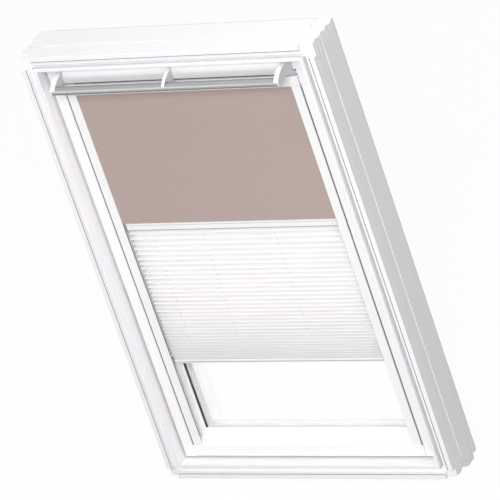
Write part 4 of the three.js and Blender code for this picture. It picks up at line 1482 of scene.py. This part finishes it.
@dataclass
class Studio:
    """The camera, the lamps, the floor and the white surroundings."""

    camera_at: Spot = (6.29869, -8.85885, 6.21523)
    camera_aim: Spot = (0.05262, -0.06165, 0.64335)
    camera_roll: float = -19.2935
    lens: float = 380.0
    sensor: float = 36.0
    ambient: float = 0.27
    floor_half: float = 15.0
    floor_light: str = "909090"
    floor_seen: str = "FAFAFA"
    floor_white: float = 0.96
    lamps: tuple[Lamp, ...] = (
        Lamp("key", at=(3.6, -7.8, 6.4), aim=(0, 0, 0.6), size=3.0, power=520),
        Lamp("front_fill", at=(0.9, -2.4, 0.72), aim=(0, 0, 0), size=1.4, power=16),
        Lamp("side_fill", at=(3.2, -1.6, 1.1), aim=(0, 0, 0.8), size=1.6, power=15),
        Lamp("top_fill", at=(0.6, -0.3, 3.4), aim=(0.1, 0, 1.2), size=1.6, power=33),
        Lamp("tube_glint", at=(-1.55, -2.65, 1.0), aim=(0, -0.03, 1.1), size=1.0, power=12),
        Lamp(
            "sky_fill",
            at=(0, 2.6, 0.56),
            aim=(0, 0, 0.5),
            size=1.2,
            power=0.85,
            height=0.35,
            spread=18.0,
            mirrored=False,
        ),
    )

    def set_camera(self) -> None:
        """Places the camera where the photograph was taken from."""
        data = bpy.data.cameras.new("camera")
        data.lens = self.lens
        data.sensor_width = self.sensor
        data.clip_end = 100.0
        camera = put_in_scene("camera", data)
        camera.matrix_world = aimed(self.camera_at, self.camera_aim, self.camera_roll)
        bpy.context.scene.camera = camera

    def seen(self, tree: Nodes, path: Node) -> Node:
        """Adds up the rays that show the surroundings: the camera's, and those of metal and glass.

        Args:
            tree: The node tree.
            path: Its light path.

        Returns:
            The node that is 1 for those rays.
        """
        direct = {0: path.outputs["Is Camera Ray"], 1: path.outputs["Is Glossy Ray"]}
        first = add_node(tree, "Math", direct, operation="ADD")
        both = {0: first, 1: path.outputs["Is Transmission Ray"]}
        return add_node(tree, "Math", both, operation="ADD", use_clamp=True)

    def set_world(self) -> None:
        """Makes the surroundings white to the camera and a plain light to the object."""
        world = bpy.data.worlds.new("studio")
        bpy.context.scene.world = world
        world.use_nodes = True
        tree = world.node_tree
        tree.nodes.clear()
        seen = self.seen(tree, add_node(tree, "LightPath", {}))
        strength = add_node(tree, "MapRange", {"Value": seen, "To Min": self.ambient, "To Max": 1.0})
        light = add_node(tree, "Background", {"Color": linear("FFFFFF"), "Strength": strength})
        add_node(tree, "OutputWorld", {"Surface": light})

    def floor_material(self) -> bpy.types.Material:
        """A matt floor that shows white and keeps the window's shadow.

        Returns:
            The material.
        """
        material = bpy.data.materials.new("matt_white_floor")
        material.use_nodes = True
        tree = material.node_tree
        tree.nodes.clear()
        path = add_node(tree, "LightPath", {})
        tones = {6: linear(self.floor_light), 7: linear(self.floor_seen)}
        seen_tones = {0: path.outputs["Is Camera Ray"], **tones}
        tone = add_node(tree, "Mix", seen_tones, data_type="RGBA").outputs[2]
        matt = add_node(tree, "BsdfDiffuse", {"Color": tone})
        glow = add_node(tree, "Emission", {"Color": linear("FFFFFF"), "Strength": 1.0})
        indirect = {0: path.outputs["Is Glossy Ray"], 1: path.outputs["Is Transmission Ray"]}
        mirrored = add_node(tree, "Math", indirect, operation="MAXIMUM")
        white = add_node(tree, "MapRange", {"Value": mirrored, "To Min": self.floor_white, "To Max": 1.0})
        share = add_node(tree, "Math", {0: self.seen(tree, path), 1: white}, operation="MULTIPLY")
        blend = add_node(tree, "MixShader", {0: share, 1: matt, 2: glow})
        add_node(tree, "OutputMaterial", {"Surface": blend})
        return material

    def add_floor(self) -> None:
        """Lays the floor at the window's foot."""
        half, level = self.floor_half, CAD_BOX[0][2]
        corners = [(-half, -half), (half, -half), (half, half), (-half, half)]
        builder = bmesh.new()
        builder.faces.new([builder.verts.new((x, y, level)) for x, y in corners])
        floor = finished("studio_floor", builder)
        floor.data.materials.append(self.floor_material())

    def build(self) -> None:
        """Sets the world, the floor and the lamps."""
        self.set_world()
        self.add_floor()
        for lamp in self.lamps:
            lamp.build()
        bpy.context.scene.view_settings.view_transform = "Standard"


def main() -> None:
    """Builds the studio and the window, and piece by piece."""
    logging.basicConfig(level=logging.INFO, format="%(name)s: %(message)s")
    studio = Studio()
    studio.set_camera()
    window = (WindowFrame, Sash, PivotHinges, VentFlap, BlindFittings, BlackoutCloth, PleatedCloth)
    for assembly in window:
        log.info("building %s", assembly.__name__)
        assembly().build()
    studio.build()


if __name__ == "__main__":
    main()
